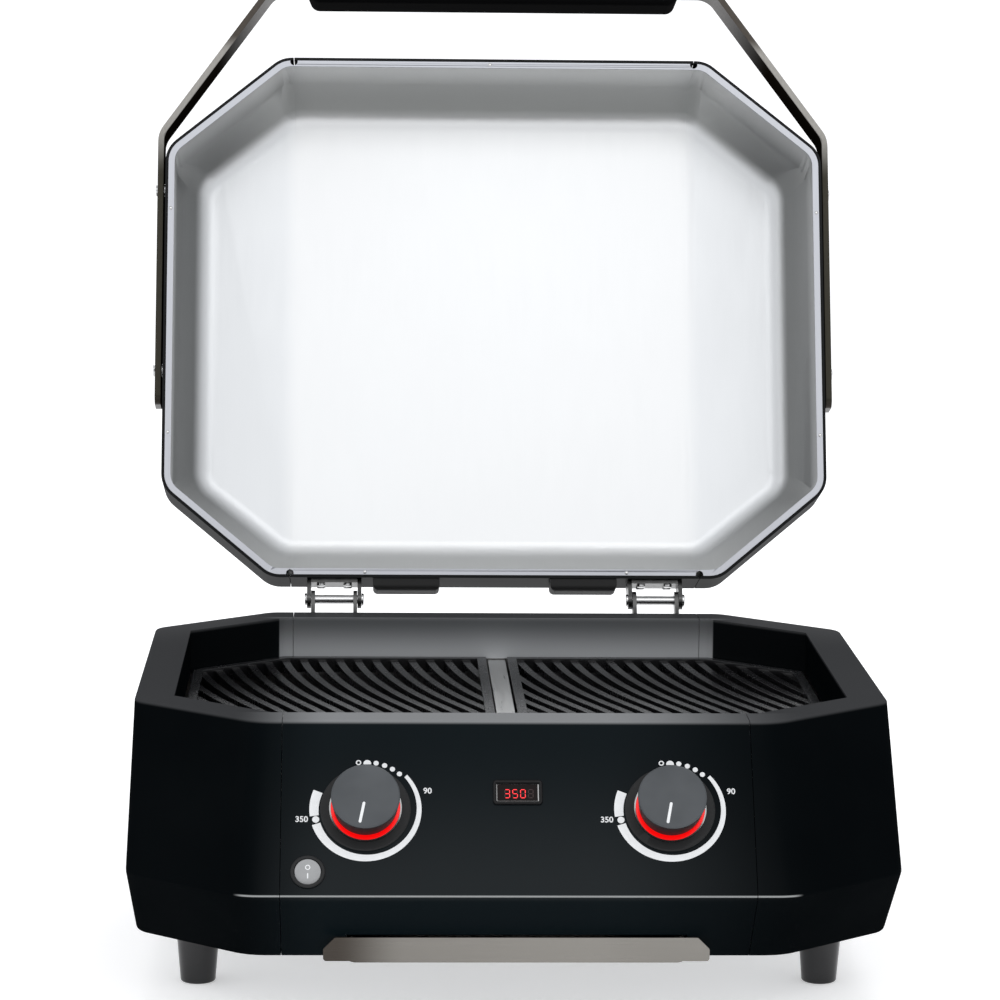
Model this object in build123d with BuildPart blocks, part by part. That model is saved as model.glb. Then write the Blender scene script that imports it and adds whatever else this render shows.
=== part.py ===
from build123d import *
import math
import os

# Two-zone electric table grill: a folded steel body on four feet, two lift-out cast grates over
# tubular heaters, a pull-out drip tray and a hinged eight-sided lid, shown open.
# Millimetres. X is to the right, Y to the back and Z up. The origin is on the table, at the
# middle of the whole object's outline.

# Body, measured at its rim
body_width = 600
body_depth = 486
rim_height = 231
rim_cut_x = 98.5
rim_cut_y = 82.5
ledge = 31
inner_lip = 36
nose_reach = 86
nose_drop = 118
nose_half = 211.4
toe_reach = 26
toe_half = 207.5
side_flare = 2
side_tuck = 3
base_drop = 180
sheet = 1.5
seam_x = 181
seam_gap = 0.5
rim_round = 2
bottom_round = 5
front_round = 40
side_round = 22

# Base plate and feet
base_sheet = 1.5
base_inset = 6
base_flange = 14
foot_x = 250
foot_inset = 90
foot_top_radius = 18
foot_bottom_radius = 14
foot_round = 2
screw_radius = 2.5
screw_clearance = 0.2
screw_head_radius = 4.5
screw_head_height = 2.4
screw_end_gap = 1
hinge_screw_radius = 2
hinge_screw_head = 3.8
hinge_screw_length = 5
hinge_screw_x = 12
hinge_screw_z = 14
vent_length = 40
vent_width = 4
vent_pitch = 9
vent_count = 7

# Cooking tub
tub_sheet = 1.2
tub_clearance = 1
tub_flange = 20
tub_depth = 85
tub_funnel = 50
drain_width = 200
drain_depth = 150
drain_cut = 30

# Grates, divider and the rails that carry them
grate_drop = 34
grate_height = 13
grate_frame = 8
grate_margin = 3
grate_gap = 19
bar_width = 7
bar_pitch = 16
bar_start_angle = 5
bar_middle_angle = 24
bar_crown = 2.2
bar_crown_angle = 32
seat_gap = 0.2
rail_width = 14
rail_sheet = 1.6
rail_half = 186
divider_width = 16
divider_drop = 37
divider_sheet = 1.2
divider_gap = 1

# Heating elements
element_radius = 4
element_drop = 66
element_leg_x = 54
element_leg_pitch = 50
element_legs = 4
element_bend = 22
element_front = 6
element_back = 400
element_turn = 80
terminal_radius = 1.6
terminal_length = 9
element_support_sheet = 2
element_support_height = 8
element_support_first = 150
element_support_pitch = 170

# Controls on the sloping front
dial_x = 116.5
dial_down = 74.5
knob_radius = 26.4
knob_base_radius = 24.4
knob_height = 19
knob_lift = 7.2
knob_chamfer = 1.2
knob_rest_angle = 191
knob_wall = 2.6
knob_boss_radius = 6
knob_hollow = 13
pointer_length = 17.5
pointer_width = 2.2
pointer_depth = 0.5
pointer_start = 5
bezel_radius = 34.6
bezel_height = 1.6
light_ring_outer = 26.6
light_ring_inner = 20
light_ring_height = 1.4
light_ring_round = 0.5
trim_ring_width = 1.1
trim_ring_height = 1.8
shaft_radius = 3
shaft_clearance = 0.05
shaft_chamfer = 0.5
bush_radius = 5
bush_length = 5
nut_width = 14
nut_height = 3
regulator_side = 38
regulator_depth = 20
shaft_sunk = 12
shaft_reach = 20
display_up = 14
display_width = 38
display_height = 20.5
display_wall = 2.8
display_chamfer = 0.6
display_proud = 1.8
display_lens_thick = 1.4
display_lens_sunk = 2
display_slack = 0.1
display_body_depth = 10
display_board_margin = 6
switch_x = -160
switch_down = 126.3
switch_flange_radius = 13.2
switch_flange = 2
switch_body_radius = 11.1
switch_body_depth = 19
switch_wall = 0.6
rocker_radius = 10.1
rocker_round = 0.6
rocker_height = 5
rocker_tilt = 8
rocker_sunk = 1
rocker_well = 8

# Behind the front
shield_y = 17
shield_sheet = 1
shield_flange = 12
shield_depth = 150
shield_half = 176
shield_hole = 6
board_width = 150
board_height = 62
board_thick = 1.6
board_spacer = 6
board_spacer_radius = 3
board_margin = 12
board_drop = 112
relay_size = 16
relay_length = 24
relay_count = 4
relay_pitch = 32
probe_radius = 2.5
probe_tip_round = 2
probe_length = 70
probe_front = 8
probe_x = 30
probe_drop = 76

# Rear inlet and terminal block
inlet_x = -130
inlet_drop = 150
inlet_width = 48
inlet_height = 22
inlet_flange = 2.4
inlet_body_width = 28
inlet_body_height = 20
inlet_body_depth = 22
inlet_wall = 2
inlet_slack = 0.5
inlet_socket = 15
inlet_pin_length = 10
inlet_pin_width = 4
inlet_pin_thick = 2
inlet_pin_pitch = 7
terminal_block_x = -204
terminal_block_y = 400
terminal_block_length = 60
terminal_block_width = 22
terminal_block_height = 18
terminal_block_ways = 5
terminal_block_hole = 2.4

# Drip tray
tray_width = 257
tray_height = 20
tray_depth = 300
tray_sheet = 1.2
tray_clearance = 2.5
tray_front = 46.5
tray_corner = 6
flange_width = 297
flange_height = 18.5
flange_corner = 9
flange_round = 2.5
flange_sheet = 1.5
runner_sheet = 1.2
runner_foot = 10
runner_height = 14
runner_start = 0
runner_length = 290

# Hinges
open_angle = 108.5
pin_back = 19
pin_rise = 8.2
pin_radius = 4
pin_clearance = 0.05
pin_head_radius = 5.5
pin_head_length = 2
hinge_x = 145
hinge_half = 24.5
leaf_sheet = 3.5
leaf_gap = 0.3
ear_radius = 8
leaf_height = 30
leaf_drop = 6

# Lid, in its closed position
lid_overhang = 2
lid_gap = 1
cut_extra = 1
lid_front_cut_x = 106
lid_front_cut_y = 87
lid_rear_cut_x = 98.5
lid_rear_cut_y = 82.5
lid_corner = 26
lid_wall = 56
lid_height = 108
roof_round = 12
roof_inset = 24
roof_rear_inset = 34
roof_cut_x = 90
roof_cut_y = 69
lid_sheet = 1.2
liner_gap = 7.5
liner_sheet = 0.8
liner_band_start = 2.8
liner_round = 22
liner_corner = 40
lid_hem = 2.4
lid_hem_height = 6
lid_seam_x = 185
lid_seam_gap = 0.6
band_notch = 6.8
bumper_x = 80
bumper_width = 60
bumper_depth = 11
bumper_up = 1
bumper_height = 30
bumper_round = 5

# Handle
strap_thickness = 5.5
strap_start = 12
strap_standoff = 2.2
strap_collar = 6
strap_height = 34
strap_rear = 324
strap_bend_y = 70
strap_front = 76
strap_front_half = 203.5
strap_bend_radius = 22
strap_screw_first = 120
strap_screw_pitch = 170
strap_screw_radius = 2.5
strap_screw_head = 5.5
strap_screw_length = 10
strap_end_round = 8
grip_inner = 18
grip_outer = 12
grip_height = 42
grip_half = 168
grip_slant = 12
grip_round = 9
grip_clearance = 0.1

# Values that follow from the ones above
panel_tilt = math.atan2(nose_reach, nose_drop)
tub_inset = ledge - sheet - tub_clearance - tub_sheet
lid_rim = rim_height + lid_gap
open_turn = math.radians(open_angle)
roof_rise = lid_gap + lid_height - pin_rise
roof_back = pin_back + body_depth - roof_inset
lid_reach = roof_rise * math.sin(open_turn) - roof_back * math.cos(open_turn)
front = (nose_reach - body_depth - pin_back - lid_reach) / 2
pin_y = front + body_depth + pin_back
pin_z = rim_height + pin_rise
base_z = rim_height - base_drop
floor_under = base_z - base_sheet
half_width = body_width / 2
tub_wall_inside = tub_inset + tub_sheet
rail_drop = grate_drop + grate_height + seat_gap
probe_places = element_leg_x - probe_x
body_leaf_up = -leaf_drop - leaf_height / 2
lid_leaf_up = leaf_drop + leaf_height / 2
lid_slope = math.atan2(roof_inset, lid_height - lid_wall)


def body_plane(drop=0):
    """Level plane at a drop below the rim, its origin under the middle of the rim's front edge."""
    return Plane(origin=(0, front, rim_height - drop))


def side_plane(x):
    """Upright plane facing right, drawn in Y from the rim's front edge and in Z from the rim."""
    return Plane(origin=(x, front, rim_height), x_dir=(0, 1, 0), z_dir=(1, 0, 0))


def panel_plane(x, down, proud=0):
    """Plane on the sloping front, at a distance down it from the rim, and proud of it."""
    out_y = -math.cos(panel_tilt)
    out_z = math.sin(panel_tilt)
    y = front - down * math.sin(panel_tilt) + proud * out_y
    z = rim_height - down * math.cos(panel_tilt) + proud * out_z
    return Plane(origin=(x, y, z), x_dir=(1, 0, 0), z_dir=(0, out_y, out_z))


def opened(x, y, z):
    """Where a point of the closed lid lies with the lid open."""
    back = y - pin_y
    up = z - pin_z
    turned_y = pin_y + back * math.cos(open_turn) + up * math.sin(open_turn)
    turned_z = pin_z - back * math.sin(open_turn) + up * math.cos(open_turn)
    return (x, turned_y, turned_z)


def lid_plane(height=0):
    """Plane square to the lid's depth, its origin at the middle of the lid's front edge."""
    up = (0, math.sin(open_turn), math.cos(open_turn))
    return Plane(origin=opened(0, front, lid_rim + height), x_dir=(1, 0, 0), z_dir=up)


def lid_side_plane(x):
    """The side plane of the closed lid, turned open with it. Its Z is from the lid's rim."""
    back = (0, math.cos(open_turn), -math.sin(open_turn))
    return Plane(origin=opened(x, front, lid_rim), x_dir=back, z_dir=(1, 0, 0))


def rear_plane(upright, up, proud=0):
    """Plane on the rear face of the body or lid, facing back, at a height from its rim."""
    origin = upright.from_local_coords(Vector(body_depth + proud, up, 0))
    return Plane(origin=origin, x_dir=(1, 0, 0), z_dir=upright.x_dir)


def cut_corners(width, depth, front_cut, rear_cut, start=0):
    """Corners of a rectangle with its four corners cut off, from the middle of its front edge."""
    half = width / 2
    end = start + depth
    right = [
        (half - front_cut[0], start),
        (half, start + front_cut[1]),
        (half, end - rear_cut[1]),
        (half - rear_cut[0], end),
    ]
    return right + [(-x, y) for x, y in reversed(right)]


def outline(plane, points, inset=0, corner=0):
    """Closed outline on a plane, drawn in by inset, with rounded corners."""
    with BuildSketch(plane) as sketch:
        with BuildLine():
            Polyline(*points, close=True)
        make_face()
        if inset:
            offset(amount=-inset, kind=Kind.INTERSECTION)
        if corner:
            fillet(sketch.vertices(), radius=corner)
    return sketch.sketch


def ring(plane, points, outer_inset, inner_inset):
    """Ring between two insets of an outline."""
    with BuildSketch(plane) as sketch:
        with BuildLine():
            Polyline(*points, close=True)
        make_face()
        if outer_inset:
            offset(amount=-outer_inset, kind=Kind.INTERSECTION)
        offset(amount=outer_inset - inner_inset, kind=Kind.INTERSECTION, mode=Mode.SUBTRACT)
    return sketch.sketch


rim_points = cut_corners(body_width, body_depth, (rim_cut_x, rim_cut_y), (rim_cut_x, rim_cut_y))


def facet(a, b, c):
    """Plane through three points, given in X, in Y from the rim's front and in drop, facing out."""
    first, second, third = (Vector(x, front + y, rim_height - drop) for x, y, drop in (a, b, c))
    normal = (second - first).cross(third - first)
    middle = Vector(0, front + body_depth / 2, rim_height - base_drop / 2)
    if normal.dot(first - middle) < 0:
        normal = -normal
    return Plane(origin=first, x_dir=second - first, z_dir=normal)


# The right half of the body's shape, from its front round to its back: the facets above the
# crease, and those below it.
rim_front = (half_width - rim_cut_x, 0, 0)
rim_side = (half_width, rim_cut_y, 0)
nose_middle = (0, -nose_reach, nose_drop)
nose_corner = (nose_half, -nose_reach, nose_drop)
nose_side = (nose_half + rim_cut_x, -nose_reach + rim_cut_y, nose_drop)
toe_corner = (toe_half, -toe_reach, base_drop)
flare = (half_width + side_flare, 0, nose_drop)
flare_back = (half_width + side_flare, body_depth, nose_drop)
tuck = (half_width - side_tuck, 0, base_drop)
rear_side = (half_width, body_depth - rim_cut_y, 0)
rear_corner = (half_width - rim_cut_x, body_depth, 0)
rear_low = (half_width - rim_cut_x, body_depth, base_drop)
rear_facets = [
    facet(rear_side, rear_corner, rear_low),
    facet(rear_corner, rear_low, (0, body_depth, 0)),
]
upper_facets = [
    facet(rim_front, nose_corner, nose_middle),
    facet(rim_front, rim_side, nose_corner),
    facet(rim_side, rear_side, flare),
] + rear_facets
lower_facets = [
    facet(nose_middle, nose_corner, toe_corner),
    facet(nose_corner, nose_side, toe_corner),
    facet(flare, flare_back, tuck),
] + rear_facets


def facet_corner(first, second, drop, inset):
    """Where two facets, drawn in by inset, meet at a drop below the rim."""
    a, b, e = facet_line(first, drop, inset)
    c, d, f = facet_line(second, drop, inset)
    x = (e * d - b * f) / (a * d - b * c)
    y = (a * f - e * c) / (a * d - b * c)
    return (x, y - front)


def facet_line(plane, drop, inset):
    """Line a x + b y = e of a facet, drawn in by inset, at a drop below the rim."""
    normal = plane.z_dir
    e = normal.dot(plane.origin) - inset - normal.Z * (rim_height - drop)
    return (normal.X, normal.Y, e)


def body_outline(drop, inset):
    """Outline of the body at a drop below the rim, drawn in by inset, its corners rounded."""
    facets = upper_facets if drop <= nose_drop else lower_facets
    right = [facet_corner(a, b, drop, inset) for a, b in zip(facets, facets[1:])]
    with BuildSketch(body_plane(drop)) as sketch:
        with BuildLine():
            Polyline(*right, *[(-x, y) for x, y in reversed(right)], close=True)
        make_face()
        fillet(sketch.vertices().group_by(Axis.Y)[0], radius=front_round - inset)
        fillet(sketch.vertices().group_by(Axis.Y)[-1], radius=side_round - inset)
        corners = sketch.vertices().sort_by(Axis.X)
        fillet(corners[:2] + corners[-2:], radius=side_round - inset)
    return sketch.sketch


def body_block(top, bottom, inset=0):
    """Block of the body's shape between two drops below the rim, drawn in by inset."""
    drops = [top, nose_drop, bottom] if top < nose_drop < bottom else [top, bottom]
    with BuildPart() as block:
        for upper, lower in zip(drops, drops[1:]):
            loft([body_outline(lower, inset), body_outline(upper, inset)], ruled=True)
    return block.part


def finish(builder, label):
    """Name a finished piece and write it to its own file."""
    builder.part.label = label
    export_step(builder.part, f"parts/{label}.step")


os.makedirs("parts", exist_ok=True)

# Body skin, folded from sheet, before it is cut at the seams into its four panels.
with BuildPart() as body_hollow:
    add(body_block(sheet, base_drop - sheet, inset=sheet))
    fillet(body_hollow.edges().group_by(Axis.Z)[0], radius=bottom_round - sheet)
with BuildPart() as body_skin:
    add(body_block(0, base_drop))
    fillet(body_skin.edges().group_by(Axis.Z)[0], radius=bottom_round)
    fillet(body_skin.edges().group_by(Axis.Z)[-1], radius=rim_round)
    add(body_hollow.part, mode=Mode.SUBTRACT)
    add(body_block(base_drop - 2 * sheet, base_drop, inset=base_flange), mode=Mode.SUBTRACT)
    extrude(outline(body_plane(), rim_points, ledge), amount=-sheet, mode=Mode.SUBTRACT)
    extrude(ring(body_plane(), rim_points, ledge - sheet, ledge), amount=-inner_lip)

# Front panel: ledge, sloping control face and tucked-in toe, with its openings for the controls
# and a notch at the bottom that the drip tray slides through.
with BuildPart() as front_panel:
    add(body_skin.part)
    split(bisect_by=Plane.YZ.offset(seam_x - seam_gap / 2), keep=Keep.BOTTOM)
    split(bisect_by=Plane.YZ.offset(-seam_x + seam_gap / 2), keep=Keep.TOP)
    split(bisect_by=Plane.XZ.offset(-front - body_depth / 2), keep=Keep.TOP)
    for hand in (1, -1):
        with BuildSketch(panel_plane(hand * dial_x, dial_down)):
            Circle(bush_radius + screw_clearance)
        extrude(amount=-2 * sheet, mode=Mode.SUBTRACT)
    with BuildSketch(panel_plane(0, dial_down - display_up)):
        Rectangle(display_width - 2 * display_wall, display_height - 2 * display_wall)
    extrude(amount=-2 * sheet, mode=Mode.SUBTRACT)
    with BuildSketch(panel_plane(switch_x, switch_down)):
        Circle(switch_body_radius + screw_clearance)
    extrude(amount=-2 * sheet, mode=Mode.SUBTRACT)
    with BuildSketch(Plane.XZ.offset(-front + nose_reach)):
        with Locations((0, base_z)):
            Rectangle(tray_width + 2 * tray_clearance, 2 * (tray_height + tray_clearance))
    extrude(amount=-nose_reach, mode=Mode.SUBTRACT)
finish(front_panel, "front_panel")

# Rear panel: ledge and upright back, with the opening for the mains inlet and cooling slots.
with BuildPart() as rear_panel:
    add(body_skin.part)
    split(bisect_by=Plane.YZ.offset(seam_x - seam_gap / 2), keep=Keep.BOTTOM)
    split(bisect_by=Plane.YZ.offset(-seam_x + seam_gap / 2), keep=Keep.TOP)
    split(bisect_by=Plane.XZ.offset(-front - body_depth / 2), keep=Keep.BOTTOM)
    with BuildSketch(Plane.XZ.offset(-front - body_depth)):
        with Locations((inlet_x, rim_height - inlet_drop)):
            Rectangle(inlet_body_width + 2 * inlet_slack, inlet_body_height + 2 * inlet_slack)
        with Locations((0, rim_height - inlet_drop)):
            with GridLocations(vent_pitch, 0, vent_count, 1):
                SlotOverall(vent_length, vent_width, rotation=90)
        with Locations(*[(hand * hinge_x, rim_height + body_leaf_up) for hand in (1, -1)]):
            with GridLocations(2 * hinge_screw_x, hinge_screw_z, 2, 2):
                Circle(hinge_screw_radius + screw_clearance)
    extrude(amount=2 * sheet, both=True, mode=Mode.SUBTRACT)
finish(rear_panel, "rear_panel")

# End panels: the two ends of the body, with its cut corners, from seam to seam.
for hand, side in ((-1, "left"), (1, "right")):
    with BuildPart() as end_panel:
        add(body_skin.part)
        keep_side = Keep.TOP if hand > 0 else Keep.BOTTOM
        split(bisect_by=Plane.YZ.offset(hand * (seam_x + seam_gap / 2)), keep=keep_side)
    finish(end_panel, f"end_panel_{side}")

# Base plate that closes the body from below, with cooling slots and the holes for the feet.
foot_places = [
    (hand * foot_x, front + y)
    for y in (foot_inset, body_depth - foot_inset)
    for hand in (-1, 1)
]
with BuildPart() as base_plate:
    add(body_block(base_drop, base_drop + base_sheet, inset=base_inset))
    with BuildSketch(Plane.XY.offset(floor_under)):
        with Locations(*foot_places):
            Circle(screw_radius + screw_clearance)
        for hand in (1, -1):
            with Locations((hand * foot_x, front + body_depth / 2)):
                with GridLocations(0, vent_pitch, 1, vent_count):
                    SlotOverall(vent_length, vent_width)
    extrude(amount=base_sheet, mode=Mode.SUBTRACT)
finish(base_plate, "base_plate")

# Feet: glossy tapered mouldings, each held by a screw from inside the body.
foot_names = ("foot_front_left", "foot_front_right", "foot_rear_left", "foot_rear_right")
foot_bore = floor_under / 2
for (x, y), name in zip(foot_places, foot_names):
    with BuildPart() as foot:
        with BuildSketch(Plane.XY):
            with Locations((x, y)):
                Circle(foot_bottom_radius)
        with BuildSketch(Plane.XY.offset(floor_under)):
            with Locations((x, y)):
                Circle(foot_top_radius)
        loft()
        fillet(foot.edges().group_by(Axis.Z)[0], radius=foot_round)
        with BuildSketch(Plane.XY.offset(floor_under)):
            with Locations((x, y)):
                Circle(screw_radius)
        extrude(amount=-foot_bore, mode=Mode.SUBTRACT)
    finish(foot, name)

# Screws that hold the feet: head inside the body, shank down through the base plate.
with BuildPart() as foot_screws:
    with BuildSketch(Plane.XY.offset(base_z)):
        with Locations(*foot_places):
            Circle(screw_head_radius)
    extrude(amount=screw_head_height)
    fillet(foot_screws.edges().group_by(Axis.Z)[-1], radius=screw_head_height / 3)
    with BuildSketch(Plane.XY.offset(base_z)):
        with Locations(*foot_places):
            Circle(screw_radius)
    extrude(amount=-base_sheet - foot_bore + screw_end_gap)
finish(foot_screws, "foot_screws")

# Cooking tub: a pressed basin hung under the ledge, with a floor that falls to a drain.
drain_points = cut_corners(
    drain_width,
    drain_depth,
    (drain_cut, drain_cut),
    (drain_cut, drain_cut),
    start=(body_depth - drain_depth) / 2,
)
funnel = tub_depth + tub_funnel
with BuildPart() as funnel_outside:
    loft(
        [
            outline(body_plane(tub_depth), rim_points, tub_inset),
            outline(body_plane(funnel), drain_points),
        ],
        ruled=True,
    )
with BuildPart() as funnel_inside:
    loft(
        [
            outline(body_plane(tub_depth - 2 * tub_sheet), rim_points, tub_inset + tub_sheet),
            outline(body_plane(funnel - 2 * tub_sheet), drain_points, tub_sheet),
        ],
        ruled=True,
    )
with BuildPart() as cooking_tub:
    flange_plane = body_plane(sheet)
    extrude(ring(flange_plane, rim_points, tub_flange, tub_inset + tub_sheet), amount=-tub_sheet)
    extrude(ring(flange_plane, rim_points, tub_inset, tub_inset + tub_sheet), amount=sheet - tub_depth)
    add(funnel_outside.part)
    add(funnel_inside.part, mode=Mode.SUBTRACT)
    extrude(outline(body_plane(funnel), drain_points, tub_sheet), amount=tub_funnel, mode=Mode.SUBTRACT)
    leg_ends = [element_leg_x, element_leg_x + (element_legs - 1) * element_leg_pitch]
    element_holes = [(hand * x, -element_drop) for x in leg_ends for hand in (1, -1)]
    probe_holes = [(hand * probe_places, -probe_drop) for hand in (1, -1)]
    with BuildSketch(Plane(origin=(0, front, rim_height), x_dir=(1, 0, 0), z_dir=(0, -1, 0))):
        with Locations(*element_holes):
            Circle(element_radius + screw_clearance)
        with Locations(*probe_holes):
            Circle(probe_radius + screw_clearance)
    extrude(amount=-2 * ledge, mode=Mode.SUBTRACT)
finish(cooking_tub, "cooking_tub")

# Rails for the grates: two folded angles on the tub's front and rear walls.
with BuildPart() as grate_rails:
    with BuildSketch(side_plane(-rail_half)):
        with BuildLine():
            Polyline(
                (tub_wall_inside, -rail_drop),
                (tub_wall_inside + rail_width, -rail_drop),
                (tub_wall_inside + rail_width, -rail_drop - rail_sheet),
                (tub_wall_inside + rail_sheet, -rail_drop - rail_sheet),
                (tub_wall_inside + rail_sheet, -rail_drop - rail_width),
                (tub_wall_inside, -rail_drop - rail_width),
                close=True,
            )
        make_face()
    extrude(amount=2 * rail_half)
    mirror(about=Plane.XZ.offset(-front - body_depth / 2))
finish(grate_rails, "grate_rails")

# Divider between the two zones: a bright folded channel that rests on the rails.
divider_start = tub_wall_inside + divider_gap
with BuildPart() as zone_divider:
    with BuildSketch(Plane(origin=(0, front + divider_start, rim_height), x_dir=(1, 0, 0), z_dir=(0, -1, 0))):
        with Locations((0, -divider_drop)):
            Rectangle(divider_width, rail_drop - divider_drop, align=(Align.CENTER, Align.MAX))
        with Locations((0, -divider_drop - divider_sheet)):
            Rectangle(
                divider_width - 2 * divider_sheet,
                rail_drop - divider_drop,
                align=(Align.CENTER, Align.MAX),
                mode=Mode.SUBTRACT,
            )
    extrude(amount=-(body_depth - 2 * divider_start))
finish(zone_divider, "zone_divider")

# Cast grates: a frame that follows the body's cut corners, filled with parallel S-curved bars.
grate_front = ledge + grate_margin
grate_back = body_depth - grate_front
bar_run = (grate_back - grate_front) / 2
start_turn = math.radians(bar_start_angle)
middle_turn = math.radians(bar_middle_angle)
bar_radius = bar_run / (math.sin(middle_turn) - math.sin(start_turn))
bar_shift = bar_radius * (math.cos(start_turn) - math.cos(middle_turn))
half_turn = (start_turn + middle_turn) / 2
mid_back = bar_radius * (math.sin(half_turn) - math.sin(start_turn))
mid_shift = bar_radius * (math.cos(start_turn) - math.cos(half_turn))
for hand, side in ((-1, "left"), (1, "right")):
    inner_edge = hand * grate_gap / 2
    outer_edge = hand * (half_width - grate_front)
    low_x = min(inner_edge, outer_edge)
    high_x = max(inner_edge, outer_edge)
    first_bar = math.floor(low_x / bar_pitch)
    last_bar = math.ceil((high_x + 2 * bar_shift) / bar_pitch)
    span = high_x - low_x
    clip_middle = ((low_x + high_x) / 2, body_depth / 2)
    grate_base = body_plane(grate_drop + grate_height)
    crown_base = body_plane(grate_drop + bar_crown)
    with BuildSketch(Plane.XY) as frame_plan:
        add(outline(Plane.XY, rim_points, grate_front))
        with Locations(clip_middle):
            Rectangle(span, body_depth, mode=Mode.INTERSECT)
    with BuildSketch(Plane.XY) as bar_plan:
        for number in range(first_bar, last_bar + 1):
            x = number * bar_pitch
            with BuildLine():
                first_arc = ThreePointArc(
                    (x, grate_front),
                    (x - mid_shift, grate_front + mid_back),
                    (x - bar_shift, grate_front + bar_run),
                )
                ThreePointArc(
                    first_arc @ 1,
                    (x - 2 * bar_shift + mid_shift, grate_back - mid_back),
                    (x - 2 * bar_shift, grate_back),
                )
            trace(line_width=bar_width)
        add(frame_plan.sketch, mode=Mode.INTERSECT)
    with BuildPart() as grate:
        with BuildSketch(grate_base):
            add(frame_plan.sketch)
            offset(amount=-grate_frame, kind=Kind.INTERSECTION, mode=Mode.SUBTRACT)
        extrude(amount=grate_height)
        with BuildSketch(grate_base):
            add(bar_plan.sketch)
        extrude(amount=grate_height - bar_crown)
        with BuildSketch(crown_base):
            add(bar_plan.sketch)
        extrude(amount=bar_crown, taper=bar_crown_angle)
    finish(grate, f"grate_{side}")

# Heating elements: a bent tube in each zone, with both cold ends led out through the tub's front.
leg_places = [element_leg_x + number * element_leg_pitch for number in range(element_legs)]
for hand, side in ((-1, "left"), (1, "right")):
    route = [(hand * leg_places[0], element_front)]
    for number in range(element_legs - 1):
        turn_y = element_back if number % 2 == 0 else element_turn
        route.append((hand * leg_places[number], turn_y))
        route.append((hand * leg_places[number + 1], turn_y))
    route.append((hand * leg_places[-1], element_front))
    with BuildPart() as heating_element:
        with BuildLine(body_plane(element_drop)) as tube_line:
            FilletPolyline(*route, radius=element_bend)
        with BuildSketch(Plane(origin=tube_line.line @ 0, z_dir=tube_line.line % 0)):
            Circle(element_radius)
        sweep()
        for number in (0, -1):
            end = Plane(
                origin=(hand * leg_places[number], front + element_front, rim_height - element_drop),
                x_dir=(1, 0, 0),
                z_dir=(0, -1, 0),
            )
            with BuildSketch(end):
                Circle(terminal_radius)
            extrude(amount=terminal_length)
    finish(heating_element, f"heating_element_{side}")

# Supports: two bars on edge across the tub, under the heating elements.
with BuildPart() as element_supports:
    with BuildSketch(body_plane(element_drop + element_radius + seat_gap)):
        with Locations((0, element_support_first), (0, element_support_first + element_support_pitch)):
            Rectangle(2 * (half_width - tub_wall_inside), element_support_sheet)
    extrude(amount=-element_support_height)
finish(element_supports, "element_supports")

# Heat shield: a folded sheet hung under the front ledge, between the tub and the controls.
with BuildPart() as heat_shield:
    with BuildSketch(side_plane(-shield_half)):
        with BuildLine():
            Polyline(
                (shield_y + shield_sheet - shield_flange, -sheet),
                (shield_y + shield_sheet, -sheet),
                (shield_y + shield_sheet, -shield_depth),
                (shield_y, -shield_depth),
                (shield_y, -sheet - shield_sheet),
                (shield_y + shield_sheet - shield_flange, -sheet - shield_sheet),
                close=True,
            )
        make_face()
    extrude(amount=2 * shield_half)
    shield_face = Plane(origin=(0, front + shield_y, rim_height), x_dir=(1, 0, 0), z_dir=(0, -1, 0))
    with BuildSketch(shield_face):
        with Locations((-leg_places[0], -element_drop), (leg_places[0], -element_drop)):
            Circle(shield_hole)
        with Locations((-probe_places, -probe_drop), (probe_places, -probe_drop)):
            Circle(shield_hole)
    extrude(amount=-shield_sheet, mode=Mode.SUBTRACT)
    with BuildSketch(shield_face):
        with Locations((0, -board_drop)):
            with GridLocations(board_width - board_margin, board_height - board_margin, 2, 2):
                Circle(board_spacer_radius)
    extrude(amount=board_spacer)
finish(heat_shield, "heat_shield")

# Control board on the shield's spacers, with its row of relays.
with BuildPart() as control_board:
    with BuildSketch(shield_face.offset(board_spacer)):
        with Locations((0, -board_drop)):
            Rectangle(board_width, board_height)
    extrude(amount=board_thick)
    with BuildSketch(shield_face.offset(board_spacer + board_thick)):
        with Locations((0, -board_drop)):
            with GridLocations(relay_pitch, 0, relay_count, 1):
                Rectangle(relay_size, relay_length)
    extrude(amount=relay_size)
finish(control_board, "control_board")

# Temperature probes: one rod a zone, through the shield and the tub's front wall.
with BuildPart() as temperature_probes:
    with BuildSketch(Plane(origin=(0, front + probe_front, rim_height), x_dir=(1, 0, 0), z_dir=(0, 1, 0))):
        with Locations((-probe_places, probe_drop), (probe_places, probe_drop)):
            Circle(probe_radius)
    extrude(amount=probe_length)
    fillet(temperature_probes.edges().group_by(Axis.Y)[-1], radius=probe_tip_round)
finish(temperature_probes, "temperature_probes")

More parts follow.
